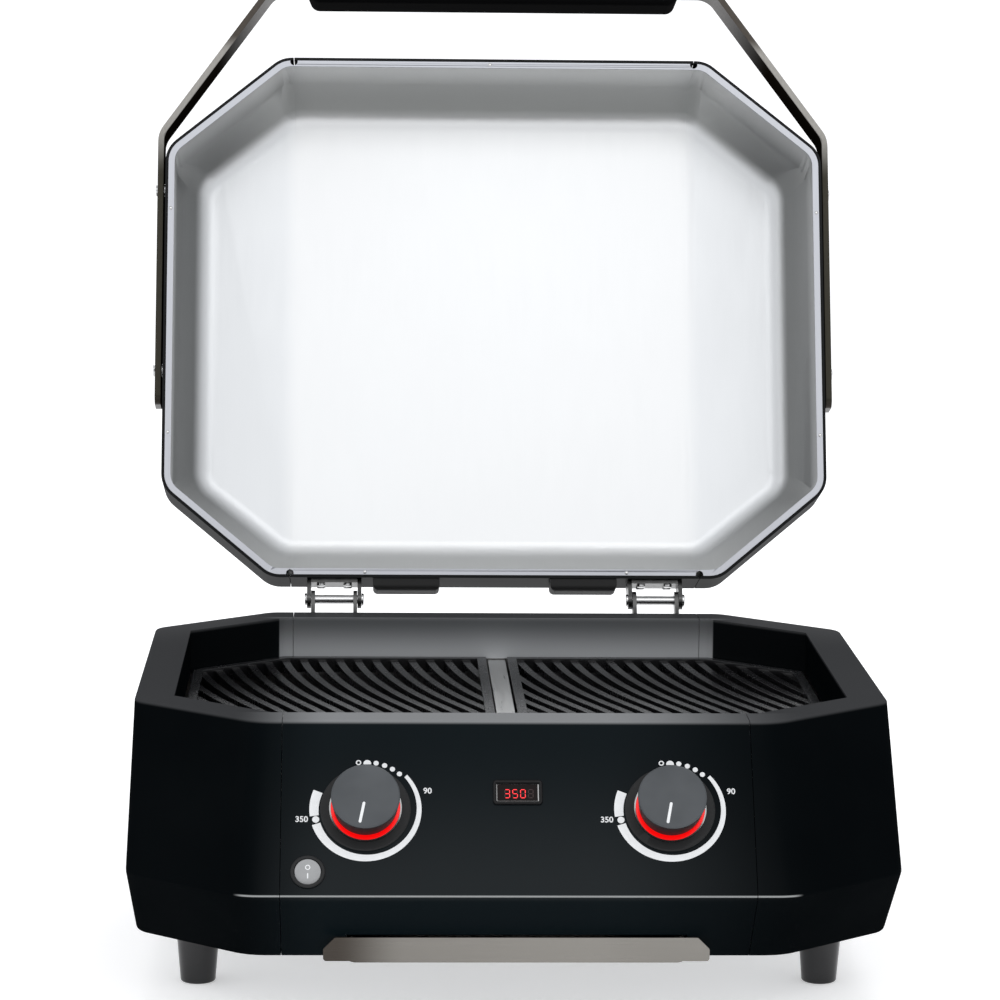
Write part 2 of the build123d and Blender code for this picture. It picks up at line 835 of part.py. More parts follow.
# Dials: on each side a regulator with its turning shaft, a black bezel, a red light ring in a
# bright trim ring, and a hollow knob with a line cut in its face.
for hand, side in ((-1, "left"), (1, "right")):
    dial_plane = panel_plane(hand * dial_x, dial_down)
    dial_axis = Axis(dial_plane.origin, dial_plane.z_dir)
    with BuildPart() as regulator:
        with BuildSketch(dial_plane.offset(-sheet)):
            RectangleRounded(regulator_side, regulator_side, radius=knob_chamfer)
        extrude(amount=-regulator_depth)
        with BuildSketch(dial_plane.offset(-sheet)):
            Circle(bush_radius)
        extrude(amount=sheet + bush_length)
        with BuildSketch(dial_plane.offset(bush_length)):
            Circle(shaft_radius + shaft_clearance)
        extrude(amount=-bush_length - shaft_sunk - shaft_clearance, mode=Mode.SUBTRACT)
    finish(regulator, f"regulator_{side}")

    with BuildPart() as control_shaft:
        with BuildSketch(dial_plane.offset(-shaft_sunk)):
            Circle(shaft_radius)
        extrude(amount=shaft_sunk + shaft_reach)
        shaft_end = control_shaft.faces().sort_by(dial_axis)[-1]
        chamfer(shaft_end.edges(), shaft_chamfer)
    finish(control_shaft, f"control_shaft_{side}")

    with BuildPart() as dial_bezel:
        with BuildSketch(dial_plane):
            Circle(bezel_radius)
            Circle(bush_radius + screw_clearance, mode=Mode.SUBTRACT)
        extrude(amount=bezel_height)
        outer_edge = dial_bezel.edges().filter_by(GeomType.CIRCLE).sort_by(SortBy.RADIUS)[-2:]
        chamfer(outer_edge.sort_by(dial_axis)[-1], bezel_height / 2)
    finish(dial_bezel, f"dial_bezel_{side}")

    with BuildPart() as light_ring:
        with BuildSketch(dial_plane.offset(bezel_height)):
            Circle(light_ring_outer)
            Circle(light_ring_inner, mode=Mode.SUBTRACT)
        extrude(amount=light_ring_height)
        ring_top = light_ring.faces().sort_by(dial_axis)[-1]
        fillet(ring_top.edges(), radius=light_ring_round)
    finish(light_ring, f"light_ring_{side}")

    with BuildPart() as knob:
        with BuildSketch(dial_plane.offset(knob_lift)):
            Circle(knob_base_radius)
        with BuildSketch(dial_plane.offset(knob_lift + knob_height)):
            Circle(knob_radius)
        loft()
        knob_face = knob.faces().sort_by(dial_axis)[-1]
        chamfer(knob_face.edges(), knob_chamfer)
        with BuildSketch(dial_plane.offset(knob_lift)):
            Circle(knob_base_radius - knob_wall)
            Circle(knob_boss_radius, mode=Mode.SUBTRACT)
        extrude(amount=knob_hollow, mode=Mode.SUBTRACT)
        with BuildSketch(dial_plane.offset(knob_lift)):
            Circle(shaft_radius)
        extrude(amount=shaft_reach - knob_lift, mode=Mode.SUBTRACT)
        with BuildSketch(dial_plane.offset(knob_lift + knob_height)):
            turn = math.radians(knob_rest_angle)
            reach = pointer_start + pointer_length / 2
            with Locations((reach * math.sin(turn), reach * math.cos(turn))):
                SlotOverall(pointer_length, pointer_width, rotation=90 - knob_rest_angle)
        extrude(amount=-pointer_depth, mode=Mode.SUBTRACT)
    finish(knob, f"knob_{side}")

with BuildPart() as trim_rings:
    for hand in (-1, 1):
        with BuildSketch(panel_plane(hand * dial_x, dial_down, bezel_height)):
            Circle(light_ring_outer + trim_ring_width)
            Circle(light_ring_outer, mode=Mode.SUBTRACT)
        extrude(amount=trim_ring_height)
finish(trim_rings, "trim_rings")

with BuildPart() as bush_nuts:
    for hand in (-1, 1):
        with BuildSketch(panel_plane(hand * dial_x, dial_down, bezel_height)):
            RegularPolygon(nut_width / 2, 6, major_radius=False)
            Circle(bush_radius, mode=Mode.SUBTRACT)
        extrude(amount=nut_height)
finish(bush_nuts, "bush_nuts")

# Display: a thin frame through the front, a dark window in it and the lit module behind.
display_plane = panel_plane(0, dial_down - display_up)
window_width = display_width - 2 * display_wall
window_height = display_height - 2 * display_wall
with BuildPart() as display_bezel:
    with BuildSketch(display_plane):
        RectangleRounded(display_width, display_height, radius=display_wall)
        Rectangle(window_width, window_height, mode=Mode.SUBTRACT)
    extrude(amount=display_proud)
    bezel_front = display_bezel.faces().sort_by(Axis(display_plane.origin, display_plane.z_dir))[-1]
    chamfer(bezel_front.edges(), display_chamfer)
finish(display_bezel, "display_bezel")

with BuildPart() as display_lens:
    with BuildSketch(display_plane.offset(display_proud - display_lens_sunk)):
        Rectangle(window_width - 2 * display_slack, window_height - 2 * display_slack)
    extrude(amount=-display_lens_thick)
finish(display_lens, "display_lens")

with BuildPart() as display_module:
    module_front = display_proud - display_lens_sunk - display_lens_thick
    with BuildSketch(display_plane.offset(module_front)):
        Rectangle(window_width - 4 * display_slack, window_height - 4 * display_slack)
    extrude(amount=-display_body_depth)
    with BuildSketch(display_plane.offset(module_front - display_body_depth)):
        Rectangle(display_width + display_board_margin, display_height + display_board_margin)
    extrude(amount=-board_thick)
finish(display_module, "display_module")

# Mains switch: a round housing through the front and a rocker, pressed in at its lower half.
switch_plane = panel_plane(switch_x, switch_down)
with BuildPart() as switch_housing:
    with BuildSketch(switch_plane):
        Circle(switch_flange_radius)
    extrude(amount=switch_flange)
    flange_face = switch_housing.faces().sort_by(Axis(switch_plane.origin, switch_plane.z_dir))[-1]
    fillet(flange_face.edges(), radius=switch_flange / 2)
    with BuildSketch(switch_plane):
        Circle(switch_body_radius)
    extrude(amount=-switch_body_depth)
    with BuildSketch(switch_plane.offset(switch_flange)):
        Circle(switch_body_radius - switch_wall)
    extrude(amount=-switch_flange - rocker_well, mode=Mode.SUBTRACT)
finish(switch_housing, "switch_housing")

rocker_plane = switch_plane.offset(-rocker_sunk).rotated((rocker_tilt, 0, 0))
with BuildPart() as switch_rocker:
    with BuildSketch(rocker_plane.offset(-rocker_height / 2)):
        Circle(rocker_radius)
    extrude(amount=rocker_height)
    rocker_face = switch_rocker.faces().sort_by(Axis(rocker_plane.origin, rocker_plane.z_dir))[-1]
    fillet(rocker_face.edges(), radius=rocker_round)
finish(switch_rocker, "switch_rocker")

# Mains inlet: a socket with three blades, set in the rear panel.
inlet_plane = Plane(
    origin=(inlet_x, front + body_depth, rim_height - inlet_drop),
    x_dir=(-1, 0, 0),
    z_dir=(0, 1, 0),
)
with BuildPart() as power_inlet:
    with BuildSketch(inlet_plane):
        RectangleRounded(inlet_width, inlet_height, radius=inlet_wall)
    extrude(amount=inlet_flange)
    with BuildSketch(inlet_plane):
        Rectangle(inlet_body_width, inlet_body_height)
    extrude(amount=-inlet_body_depth)
    with BuildSketch(inlet_plane.offset(inlet_flange)):
        Rectangle(inlet_body_width - 2 * inlet_wall, inlet_body_height - 2 * inlet_wall)
    extrude(amount=-inlet_flange - inlet_socket, mode=Mode.SUBTRACT)
    with BuildSketch(inlet_plane.offset(-inlet_socket)):
        with Locations((-inlet_pin_pitch, 0), (0, inlet_pin_thick), (inlet_pin_pitch, 0)):
            Rectangle(inlet_pin_thick, inlet_pin_width)
    extrude(amount=inlet_pin_length)
finish(power_inlet, "power_inlet")

# Terminal block on the base plate, where the mains wiring fans out.
terminal_plane = Plane(origin=(terminal_block_x, front + terminal_block_y, base_z))
with BuildPart() as terminal_block:
    with BuildSketch(terminal_plane):
        Rectangle(terminal_block_length, terminal_block_width)
    extrude(amount=terminal_block_height)
    with BuildSketch(terminal_plane.offset(terminal_block_height)):
        with GridLocations(terminal_block_length / terminal_block_ways, 0, terminal_block_ways, 1):
            Circle(terminal_block_hole)
    extrude(amount=-terminal_block_height / 2, mode=Mode.SUBTRACT)
finish(terminal_block, "terminal_block")

# Drip tray: a shallow pan on the base plate, with a wide front flange to pull it out by.
tray_floor = base_z + seat_gap
with BuildPart() as drip_tray:
    with BuildSketch(Plane.XY.offset(tray_floor)):
        with Locations((0, front - tray_front + tray_depth / 2)):
            Rectangle(tray_width, tray_depth)
    extrude(amount=tray_height)
    fillet(drip_tray.edges().filter_by(Axis.Z), radius=tray_corner)
    with BuildSketch(Plane.XY.offset(tray_floor + tray_sheet)):
        with Locations((0, front - tray_front + tray_depth / 2)):
            RectangleRounded(
                tray_width - 2 * tray_sheet,
                tray_depth - 2 * tray_sheet,
                radius=tray_corner - tray_sheet,
            )
    extrude(amount=tray_height, mode=Mode.SUBTRACT)
    flange_middle = (0, front - tray_front, tray_floor + tray_height - flange_height / 2)
    with BuildSketch(Plane(origin=flange_middle, x_dir=(1, 0, 0), z_dir=(0, -1, 0))) as flange:
        Rectangle(flange_width, flange_height)
        chamfer(flange.vertices().group_by(Axis.Y)[-1], flange_corner)
        fillet(flange.vertices(), radius=flange_round)
    extrude(amount=flange_sheet)
finish(drip_tray, "drip_tray")

# Runners: two angles on the base plate that guide the tray's sides.
with BuildPart() as tray_runners:
    with BuildSketch(Plane(origin=(0, front + runner_start, base_z), x_dir=(1, 0, 0), z_dir=(0, -1, 0))):
        for hand in (1, -1):
            inner_x = hand * (tray_width / 2 + tray_clearance)
            with Locations((inner_x + hand * runner_sheet / 2, 0)):
                Rectangle(runner_sheet, runner_height, align=(Align.CENTER, Align.MIN))
            with Locations((inner_x + hand * runner_foot / 2, 0)):
                Rectangle(runner_foot, runner_sheet, align=(Align.CENTER, Align.MIN))
    extrude(amount=-runner_length)
finish(tray_runners, "tray_runners")

# Hinges: each has a leaf on the body and a leaf on the lid, with two ears apiece on a headed pin,
# and four screws to each leaf. The lid's ears lie outside the body's.


def hinge_leaf(side_at, middle, plate_up, pin_up, ear_start):
    """Hinge leaf against a rear face: a plate with four screw holes and two ears with a bore."""
    with BuildPart() as leaf:
        with BuildSketch(side_at(middle - hinge_half)):
            with Locations((body_depth + leaf_sheet / 2, plate_up)):
                Rectangle(leaf_sheet, leaf_height)
        extrude(amount=2 * hinge_half)
        for ear_x in (middle + ear_start, middle - ear_start - leaf_sheet):
            with BuildSketch(side_at(ear_x)):
                with Locations((body_depth + leaf_sheet / 2, plate_up)):
                    Rectangle(leaf_sheet, leaf_height)
                with Locations((body_depth + pin_back, pin_up)):
                    Circle(ear_radius)
                make_hull()
            extrude(amount=leaf_sheet)
        with BuildSketch(side_at(middle - hinge_half)):
            with Locations((body_depth + pin_back, pin_up)):
                Circle(pin_radius + pin_clearance)
        extrude(amount=2 * hinge_half, mode=Mode.SUBTRACT)
        with BuildSketch(rear_plane(side_at(middle), plate_up)):
            with GridLocations(2 * hinge_screw_x, hinge_screw_z, 2, 2):
                Circle(hinge_screw_radius + screw_clearance)
        extrude(amount=leaf_sheet, mode=Mode.SUBTRACT)
    return leaf.part


def hinge_screws(side_at, plate_up):
    """The eight screws of the two leaves on one side of the hinge line."""
    with BuildPart() as screws:
        for hand in (-1, 1):
            head_plane = rear_plane(side_at(hand * hinge_x), plate_up, leaf_sheet)
            with BuildSketch(head_plane):
                with GridLocations(2 * hinge_screw_x, hinge_screw_z, 2, 2):
                    Circle(hinge_screw_head)
            extrude(amount=screw_head_height)
            with BuildSketch(head_plane):
                with GridLocations(2 * hinge_screw_x, hinge_screw_z, 2, 2):
                    Circle(hinge_screw_radius)
            extrude(amount=-hinge_screw_length)
        outward = Axis(head_plane.origin, head_plane.z_dir)
        fillet(screws.faces().group_by(outward)[-1].edges(), radius=screw_head_height / 3)
    return screws.part


lid_ear_start = hinge_half - leaf_sheet
body_ear_start = lid_ear_start - leaf_gap - leaf_sheet
for hand, side in ((-1, "left"), (1, "right")):
    middle = hand * hinge_x
    with BuildPart() as hinge_body_leaf:
        add(hinge_leaf(side_plane, middle, body_leaf_up, pin_rise, body_ear_start))
    finish(hinge_body_leaf, f"hinge_body_leaf_{side}")

    with BuildPart() as hinge_lid_leaf:
        add(hinge_leaf(lid_side_plane, middle, lid_leaf_up, pin_rise - lid_gap, lid_ear_start))
    finish(hinge_lid_leaf, f"hinge_lid_leaf_{side}")

    with BuildPart() as hinge_pin:
        pin_half = hinge_half + seat_gap
        with BuildSketch(side_plane(middle - pin_half)):
            with Locations((body_depth + pin_back, pin_rise)):
                Circle(pin_radius)
        extrude(amount=2 * pin_half)
        for end in (-1, 1):
            with BuildSketch(side_plane(middle + end * pin_half)):
                with Locations((body_depth + pin_back, pin_rise)):
                    Circle(pin_head_radius)
            extrude(amount=end * pin_head_length)
        for end in (0, -1):
            fillet(hinge_pin.faces().sort_by(Axis.X)[end].edges(), radius=pin_head_length / 2)
    finish(hinge_pin, f"hinge_pin_{side}")

with BuildPart() as hinge_screws_body:
    add(hinge_screws(side_plane, body_leaf_up))
finish(hinge_screws_body, "hinge_screws_body")

with BuildPart() as hinge_screws_lid:
    add(hinge_screws(lid_side_plane, lid_leaf_up))
finish(hinge_screws_lid, "hinge_screws_lid")

# Lid: an eight-sided dome of painted sheet in three panels, with a bright liner inside it.
lid_points = cut_corners(
    body_width + 2 * lid_overhang,
    body_depth,
    (lid_front_cut_x, lid_front_cut_y),
    (lid_rear_cut_x, lid_rear_cut_y),
)
roof_points = cut_corners(
    body_width + 2 * lid_overhang - 2 * roof_inset,
    body_depth - roof_inset - roof_rear_inset,
    (roof_cut_x, roof_cut_y),
    (lid_rear_cut_x * roof_cut_x / lid_front_cut_x, lid_rear_cut_y * roof_cut_y / lid_front_cut_y),
    start=roof_inset,
)


def dome(inset, drop, roof_edge, roof_corner, start=0):
    """Solid of the lid's shape, drawn in by inset, its roof lowered by drop and rounded."""
    shoulder = lid_wall - inset * math.tan(lid_slope / 2)
    roof_in = inset * math.tan(math.pi / 4 - lid_slope / 2)
    with BuildPart() as solid:
        low = outline(lid_plane(shoulder), lid_points, inset, lid_corner - inset)
        high = outline(lid_plane(lid_height - drop), roof_points, roof_in, roof_corner)
        loft([low, high], ruled=True)
        extrude(low, amount=start - shoulder)
        up = Axis(lid_plane().origin, lid_plane().z_dir)
        fillet(solid.faces().sort_by(up)[-1].edges(), radius=roof_edge)
    return solid.part


with BuildPart() as lid_shell:
    add(dome(0, 0, roof_round, lid_corner))
    add(
        dome(lid_sheet, lid_sheet, roof_round - lid_sheet, lid_corner - lid_sheet, start=-cut_extra),
        mode=Mode.SUBTRACT,
    )
    with BuildSketch(lid_plane()):
        add(outline(Plane.XY, lid_points, 0, lid_corner))
        add(outline(Plane.XY, lid_points, lid_hem, lid_corner - lid_hem), mode=Mode.SUBTRACT)
    extrude(amount=lid_hem_height)
    for hand in (1, -1):
        with BuildSketch(rear_plane(lid_side_plane(hand * hinge_x), lid_leaf_up)):
            with GridLocations(2 * hinge_screw_x, hinge_screw_z, 2, 2):
                Circle(hinge_screw_radius + screw_clearance)
        extrude(amount=2 * lid_sheet, both=True, mode=Mode.SUBTRACT)

strap_up = strap_start + strap_height / 2
strap_screw_places = [(strap_screw_first, strap_up), (strap_screw_first + strap_screw_pitch, strap_up)]
lid_half = half_width + lid_overhang
with BuildPart() as lid_liner:
    liner_inset = liner_gap + liner_sheet
    liner_drop = liner_gap + lid_sheet
    add(dome(liner_gap, liner_drop, liner_round + liner_sheet, liner_corner + liner_sheet))
    add(
        dome(liner_inset, liner_drop + liner_sheet, liner_round, liner_corner, start=-cut_extra),
        mode=Mode.SUBTRACT,
    )
    with BuildSketch(lid_plane()):
        add(outline(Plane.XY, lid_points, liner_band_start, lid_corner - liner_band_start))
        add(outline(Plane.XY, lid_points, liner_inset, lid_corner - liner_inset), mode=Mode.SUBTRACT)
        notch_y = liner_gap - band_notch / 2 - seat_gap
        for hand in (1, -1):
            for y, edge_y in ((notch_y, 0), (body_depth - notch_y, body_depth)):
                with Locations((hand * lid_seam_x, y)):
                    Circle(band_notch / 2, mode=Mode.SUBTRACT)
                with Locations((hand * lid_seam_x, (y + edge_y) / 2)):
                    Rectangle(band_notch, notch_y, mode=Mode.SUBTRACT)
    extrude(amount=liner_sheet)

inner_seam = lid_seam_x - lid_seam_gap / 2
with BuildPart() as lid_centre_panel:
    add(lid_shell.part)
    split(bisect_by=Plane.YZ.offset(inner_seam), keep=Keep.BOTTOM)
    split(bisect_by=Plane.YZ.offset(-inner_seam), keep=Keep.TOP)
finish(lid_centre_panel, "lid_centre_panel")

with BuildPart() as lid_liner_centre:
    add(lid_liner.part)
    split(bisect_by=Plane.YZ.offset(inner_seam), keep=Keep.BOTTOM)
    split(bisect_by=Plane.YZ.offset(-inner_seam), keep=Keep.TOP)
finish(lid_liner_centre, "lid_liner_centre")

for hand, side in ((-1, "left"), (1, "right")):
    outer_seam = Plane.YZ.offset(hand * (lid_seam_x + lid_seam_gap / 2))
    keep_side = Keep.TOP if hand > 0 else Keep.BOTTOM
    with BuildPart() as lid_end:
        add(lid_shell.part)
        split(bisect_by=outer_seam, keep=keep_side)
        with BuildSketch(lid_side_plane(hand * lid_half)):
            with Locations(*strap_screw_places):
                Circle(strap_screw_radius + screw_clearance)
        extrude(amount=2 * lid_sheet, both=True, mode=Mode.SUBTRACT)
    finish(lid_end, f"lid_end_{side}")

    with BuildPart() as liner_end:
        add(lid_liner.part)
        split(bisect_by=outer_seam, keep=keep_side)
    finish(liner_end, f"lid_liner_{side}")

# Bumpers: two rubber blocks on the lid's rear wall, under its rim when it is open.
with BuildPart() as bumpers:
    with BuildSketch(lid_plane(bumper_up)):
        with Locations((-bumper_x, body_depth), (bumper_x, body_depth)):
            Rectangle(bumper_width, bumper_depth, align=(Align.CENTER, Align.MIN))
    extrude(amount=bumper_height)
    back_axis = Axis(lid_plane().origin, lid_plane().y_dir)
    fillet(bumpers.faces().group_by(back_axis)[-1].edges(), radius=bumper_round)
finish(bumpers, "bumpers")

# Handle: a flat steel strap round the lid's front, screwed to its ends, with a moulded grip on it.
strap_half = lid_half + strap_standoff + strap_thickness / 2
strap_points = [
    (strap_half, strap_rear),
    (strap_half, strap_bend_y),
    (strap_front_half, -strap_front),
    (-strap_front_half, -strap_front),
    (-strap_half, strap_bend_y),
    (-strap_half, strap_rear),
]
with BuildPart() as handle_strap:
    with BuildSketch(lid_plane(strap_start)):
        with BuildLine():
            FilletPolyline(*strap_points, radius=strap_bend_radius)
        trace(line_width=strap_thickness)
    extrude(amount=strap_height)
    strap_ends = handle_strap.faces().group_by(back_axis)[-1]
    fillet(strap_ends.edges().filter_by(Axis.X), radius=strap_end_round)
    with BuildSketch(lid_side_plane(-strap_half - strap_thickness)):
        with Locations(*strap_screw_places):
            Circle(strap_screw_radius + screw_clearance)
    extrude(amount=2 * (strap_half + strap_thickness), mode=Mode.SUBTRACT)
finish(handle_strap, "handle_strap")

with BuildPart() as handle_screws:
    for hand in (-1, 1):
        outer_face = lid_side_plane(hand * (strap_half + strap_thickness / 2))
        with BuildSketch(outer_face):
            with Locations(*strap_screw_places):
                Circle(strap_screw_head)
        extrude(amount=hand * screw_head_height)
        with BuildSketch(outer_face):
            with Locations(*strap_screw_places):
                Circle(strap_screw_radius)
        extrude(amount=-hand * strap_screw_length)
        with BuildSketch(lid_side_plane(hand * lid_half)):
            with Locations(*strap_screw_places):
                Circle(strap_collar)
        extrude(amount=hand * strap_standoff)
    for end in (0, -1):
        fillet(handle_screws.faces().group_by(Axis.X)[end].edges(), radius=screw_head_height / 3)
finish(handle_screws, "handle_screws")

grip_front = strap_front + grip_outer
grip_rear = strap_front - grip_inner
with BuildPart() as handle_grip:
    with BuildSketch(lid_plane(strap_up - grip_height / 2)):
        with BuildLine():
            Polyline(
                (-grip_half, -grip_rear),
                (grip_half, -grip_rear),
                (grip_half + grip_slant, -grip_front),
                (-grip_half - grip_slant, -grip_front),
                close=True,
            )
        make_face()
    extrude(amount=grip_height)
    fillet(handle_grip.edges(), radius=grip_round)
    with BuildSketch(lid_plane(strap_start - grip_clearance)):
        with Locations((0, -strap_front)):
            Rectangle(2 * grip_half + 4 * grip_slant, strap_thickness + 2 * grip_clearance)
    extrude(amount=strap_height + 2 * grip_clearance, mode=Mode.SUBTRACT)
finish(handle_grip, "handle_grip")
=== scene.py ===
import math

import bpy
from mathutils import Matrix, Vector


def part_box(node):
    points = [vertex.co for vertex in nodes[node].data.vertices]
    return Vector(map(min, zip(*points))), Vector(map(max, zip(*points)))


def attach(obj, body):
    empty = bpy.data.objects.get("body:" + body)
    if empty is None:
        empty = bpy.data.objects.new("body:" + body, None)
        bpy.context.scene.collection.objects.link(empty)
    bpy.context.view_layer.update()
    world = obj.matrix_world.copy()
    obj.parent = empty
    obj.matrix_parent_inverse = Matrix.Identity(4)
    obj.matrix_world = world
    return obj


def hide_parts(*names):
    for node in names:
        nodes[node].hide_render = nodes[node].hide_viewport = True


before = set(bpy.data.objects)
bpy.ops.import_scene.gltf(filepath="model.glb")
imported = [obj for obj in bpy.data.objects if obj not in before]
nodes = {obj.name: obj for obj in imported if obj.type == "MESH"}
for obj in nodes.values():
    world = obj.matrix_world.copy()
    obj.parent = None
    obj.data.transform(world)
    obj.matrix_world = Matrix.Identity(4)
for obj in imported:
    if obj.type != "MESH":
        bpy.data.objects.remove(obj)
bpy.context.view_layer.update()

# Places that every section measures from: the rim of the folded body, its front edge and the
# slope of its front, which leans back from the crease to the rim.
rim_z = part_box("rear_panel")[1].z
body_depth = 0.486
rim_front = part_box("rear_panel")[1].y - body_depth
crease_reach = 0.086
crease_drop = 0.118
panel_lean = math.atan2(crease_reach, crease_drop)

# Camera: a long lens three metres in front of the grill and a little above its open lid's middle,
# turned slightly to the right and tipped down.
camera_data = bpy.data.cameras.new("camera")
camera_data.lens = 137.9
camera = bpy.data.objects.new("camera", camera_data)
bpy.context.scene.collection.objects.link(camera)
camera_turn = math.radians(-2.07)
camera_tip = math.radians(8.21)
camera_roll = math.radians(0.56)
camera.matrix_world = (
    Matrix.Translation((-0.1195, rim_front - 2.9058, rim_z + 0.592))
    @ Matrix.Rotation(camera_turn, 4, "Z")
    @ Matrix.Rotation(math.pi / 2 - camera_tip, 4, "X")
    @ Matrix.Rotation(camera_roll, 4, "Z")
)
bpy.context.scene.camera = camera
bpy.context.scene.view_settings.view_transform = "Standard"


# Finishes: each look is one shader whose inputs are fed by nodes, written as plain arithmetic.
class Value:
    """One socket among a finish's nodes, with the arithmetic that the finishes use."""

    def __init__(self, finish, socket):
        self.finish = finish
        self.socket = socket

    def math(self, operation, first, second):
        return self.finish.node("ShaderNodeMath", {"operation": operation}, {0: first, 1: second})

    def __add__(self, other):
        return self.math("ADD", self, other)

    __radd__ = __add__

    def __sub__(self, other):
        return self.math("SUBTRACT", self, other)

    def __rsub__(self, other):
        return self.math("SUBTRACT", other, self)

    def __mul__(self, other):
        return self.math("MULTIPLY", self, other)

    __rmul__ = __mul__


class Finish:
    """A finish: one shader, and the nodes that change it over the surface."""

    def __init__(self, name, settings):
        self.material = bpy.data.materials.new(name)
        self.material.use_nodes = True
        self.tree = self.material.node_tree
        self.shader = self.tree.nodes["Principled BSDF"]
        for socket, value in settings.items():
            self.shader.inputs[socket].default_value = value

    def feed(self, socket, value):
        if isinstance(value, Value):
            self.tree.links.new(value.socket, socket)
        else:
            socket.default_value = value

    def node(self, kind, settings, inputs, output=0):
        """Add any node, with its settings first, then its sockets' values or links."""
        node = self.tree.nodes.new(kind)
        for name, value in settings.items():
            setattr(node, name, value)
        for socket, value in inputs.items():
            self.feed(node.inputs[socket], value)
        return Value(self, node.outputs[output])

    def place(self, axis=None):
        """Object coordinates, or one of them."""
        point = self.node("ShaderNodeTexCoord", {}, {}, "Object")
        if axis is None:
            return point
        return self.node("ShaderNodeSeparateXYZ", {}, {0: point}, axis)

    def noise(self, scale, detail=3.0, stretch=(1.0, 1.0, 1.0)):
        point = self.node("ShaderNodeMapping", {}, {"Vector": self.place(), "Scale": stretch})
        return self.node(
            "ShaderNodeTexNoise", {}, {"Vector": point, "Scale": scale, "Detail": detail}
        )

    def ease(self, value, low, high):
        """0 below low and 1 above high, smooth between them."""
        return self.node(
            "ShaderNodeMapRange",
            {"interpolation_type": "SMOOTHSTEP"},
            {0: value, 1: low, 2: high, 3: 0.0, 4: 1.0},
        )

    def within(self, value, low, high, fade):
        """1 between two values, fading to 0 outside them."""
        return self.ease(value, low - fade, low) * (1.0 - self.ease(value, high, high + fade))

    def off_middle(self):
        """Distance to either side of the middle."""
        across = self.place("X")
        return across.math("ABSOLUTE", across, 0.0)

    def along(self, direction, start):
        """Distance from a point, measured along a direction that is square to X."""
        return self.place("Y") * direction.y + self.place("Z") * direction.z - direction.dot(start)

    def mix(self, factor, first, second):
        return self.node(
            "ShaderNodeMix", {"data_type": "RGBA"}, {0: factor, 6: first, 7: second}, 2
        )

    def vary(self, socket, value):
        self.feed(self.shader.inputs[socket], value)

    def colour(self, factor, first, second):
        """Let the base colour run from one colour to another."""
        self.vary("Base Color", self.mix(factor, first, second))

    def bump(self, height, distance, strength=1.0):
        self.vary(
            "Normal",
            self.node(
                "ShaderNodeBump",
                {},
                {"Height": height, "Distance": distance, "Strength": strength},
            ),
        )

    def coat(self, *pieces):
        """Give the finish to pieces, or to nodes of the frame by name."""
        for piece in pieces:
            target = nodes[piece] if isinstance(piece, str) else piece
            target.data.materials.clear()
            target.data.materials.append(self.material)


# Floor and light: a white, faintly glowing floor without a horizon, an even white room, a wide
# soft light from the upper front and weaker ones from the left and from behind.
floor_finish = Finish(
    "pale_floor",
    {
        "Roughness": 0.9,
        "Specular IOR Level": 0.1,
        "Emission Color": (1.0, 1.0, 1.0, 1.0),
        "Emission Strength": 0.37,
    },
)
floor_cloud = floor_finish.noise(1.3, 2.0)
floor_finish.colour(floor_cloud, (0.86, 0.86, 0.87, 1.0), (0.90, 0.90, 0.90, 1.0))
bpy.ops.mesh.primitive_plane_add(size=300)
floor = bpy.context.object
floor.name = "floor"
floor_finish.coat(floor)

world = bpy.data.worlds.new("white_room")
bpy.context.scene.world = world
world.use_nodes = True
room = world.node_tree.nodes["Background"]
room.inputs["Color"].default_value = (0.97, 0.98, 1.0, 1.0)
room.inputs["Strength"].default_value = 0.92


def soft_light(name, place, target, width, height, power):
    """A wide rectangular light that faces a point."""
    data = bpy.data.lights.new(name, "AREA")
    data.shape = "RECTANGLE"
    data.size = width
    data.size_y = height
    data.energy = power
    light = bpy.data.objects.new(name, data)
    bpy.context.scene.collection.objects.link(light)
    light.location = place
    light.rotation_euler = (Vector(target) - Vector(place)).to_track_quat("-Z", "Y").to_euler()


soft_light("front_light", (0.3, -2.6, 2.9), (0, 0.2, 0.45), 2.6, 1.6, 22)
soft_light("left_light", (-2.6, -0.6, 1.6), (0, 0, 0.3), 1.2, 1.6, 6)
soft_light("back_light", (0.4, 2.6, 2.4), (0, 0.2, 0.2), 2.4, 1.2, 30)


# Tools for meshes: choosing edges and faces, rounding, thickening and copying.
def unselect(mesh):
    """Leave nothing of a mesh selected."""
    for parts in (mesh.vertices, mesh.edges, mesh.polygons):
        parts.foreach_set("select", [False] * len(parts))


def choose(piece, test):
    """Select the edges of a piece whose two ends pass a test, and nothing else."""
    mesh = piece.data
    unselect(mesh)
    for edge in mesh.edges:
        ends = [mesh.vertices[index] for index in edge.vertices]
        if all(test(end.co) for end in ends):
            edge.select = True
            for end in ends:
                end.select = True


def cut_faces(piece, test):
    """Delete the faces of a piece that pass a test."""
    alone(piece)
    unselect(piece.data)
    for face in piece.data.polygons:
        face.select = test(face)
    bpy.context.tool_settings.mesh_select_mode = (False, False, True)
    bpy.ops.object.mode_set(mode="EDIT")
    bpy.ops.mesh.delete(type="FACE")
    bpy.ops.object.mode_set(mode="OBJECT")


def alone(piece):
    """Make a piece the only one selected, and the active one."""
    bpy.ops.object.select_all(action="DESELECT")
    piece.select_set(True)
    bpy.context.view_layer.objects.active = piece


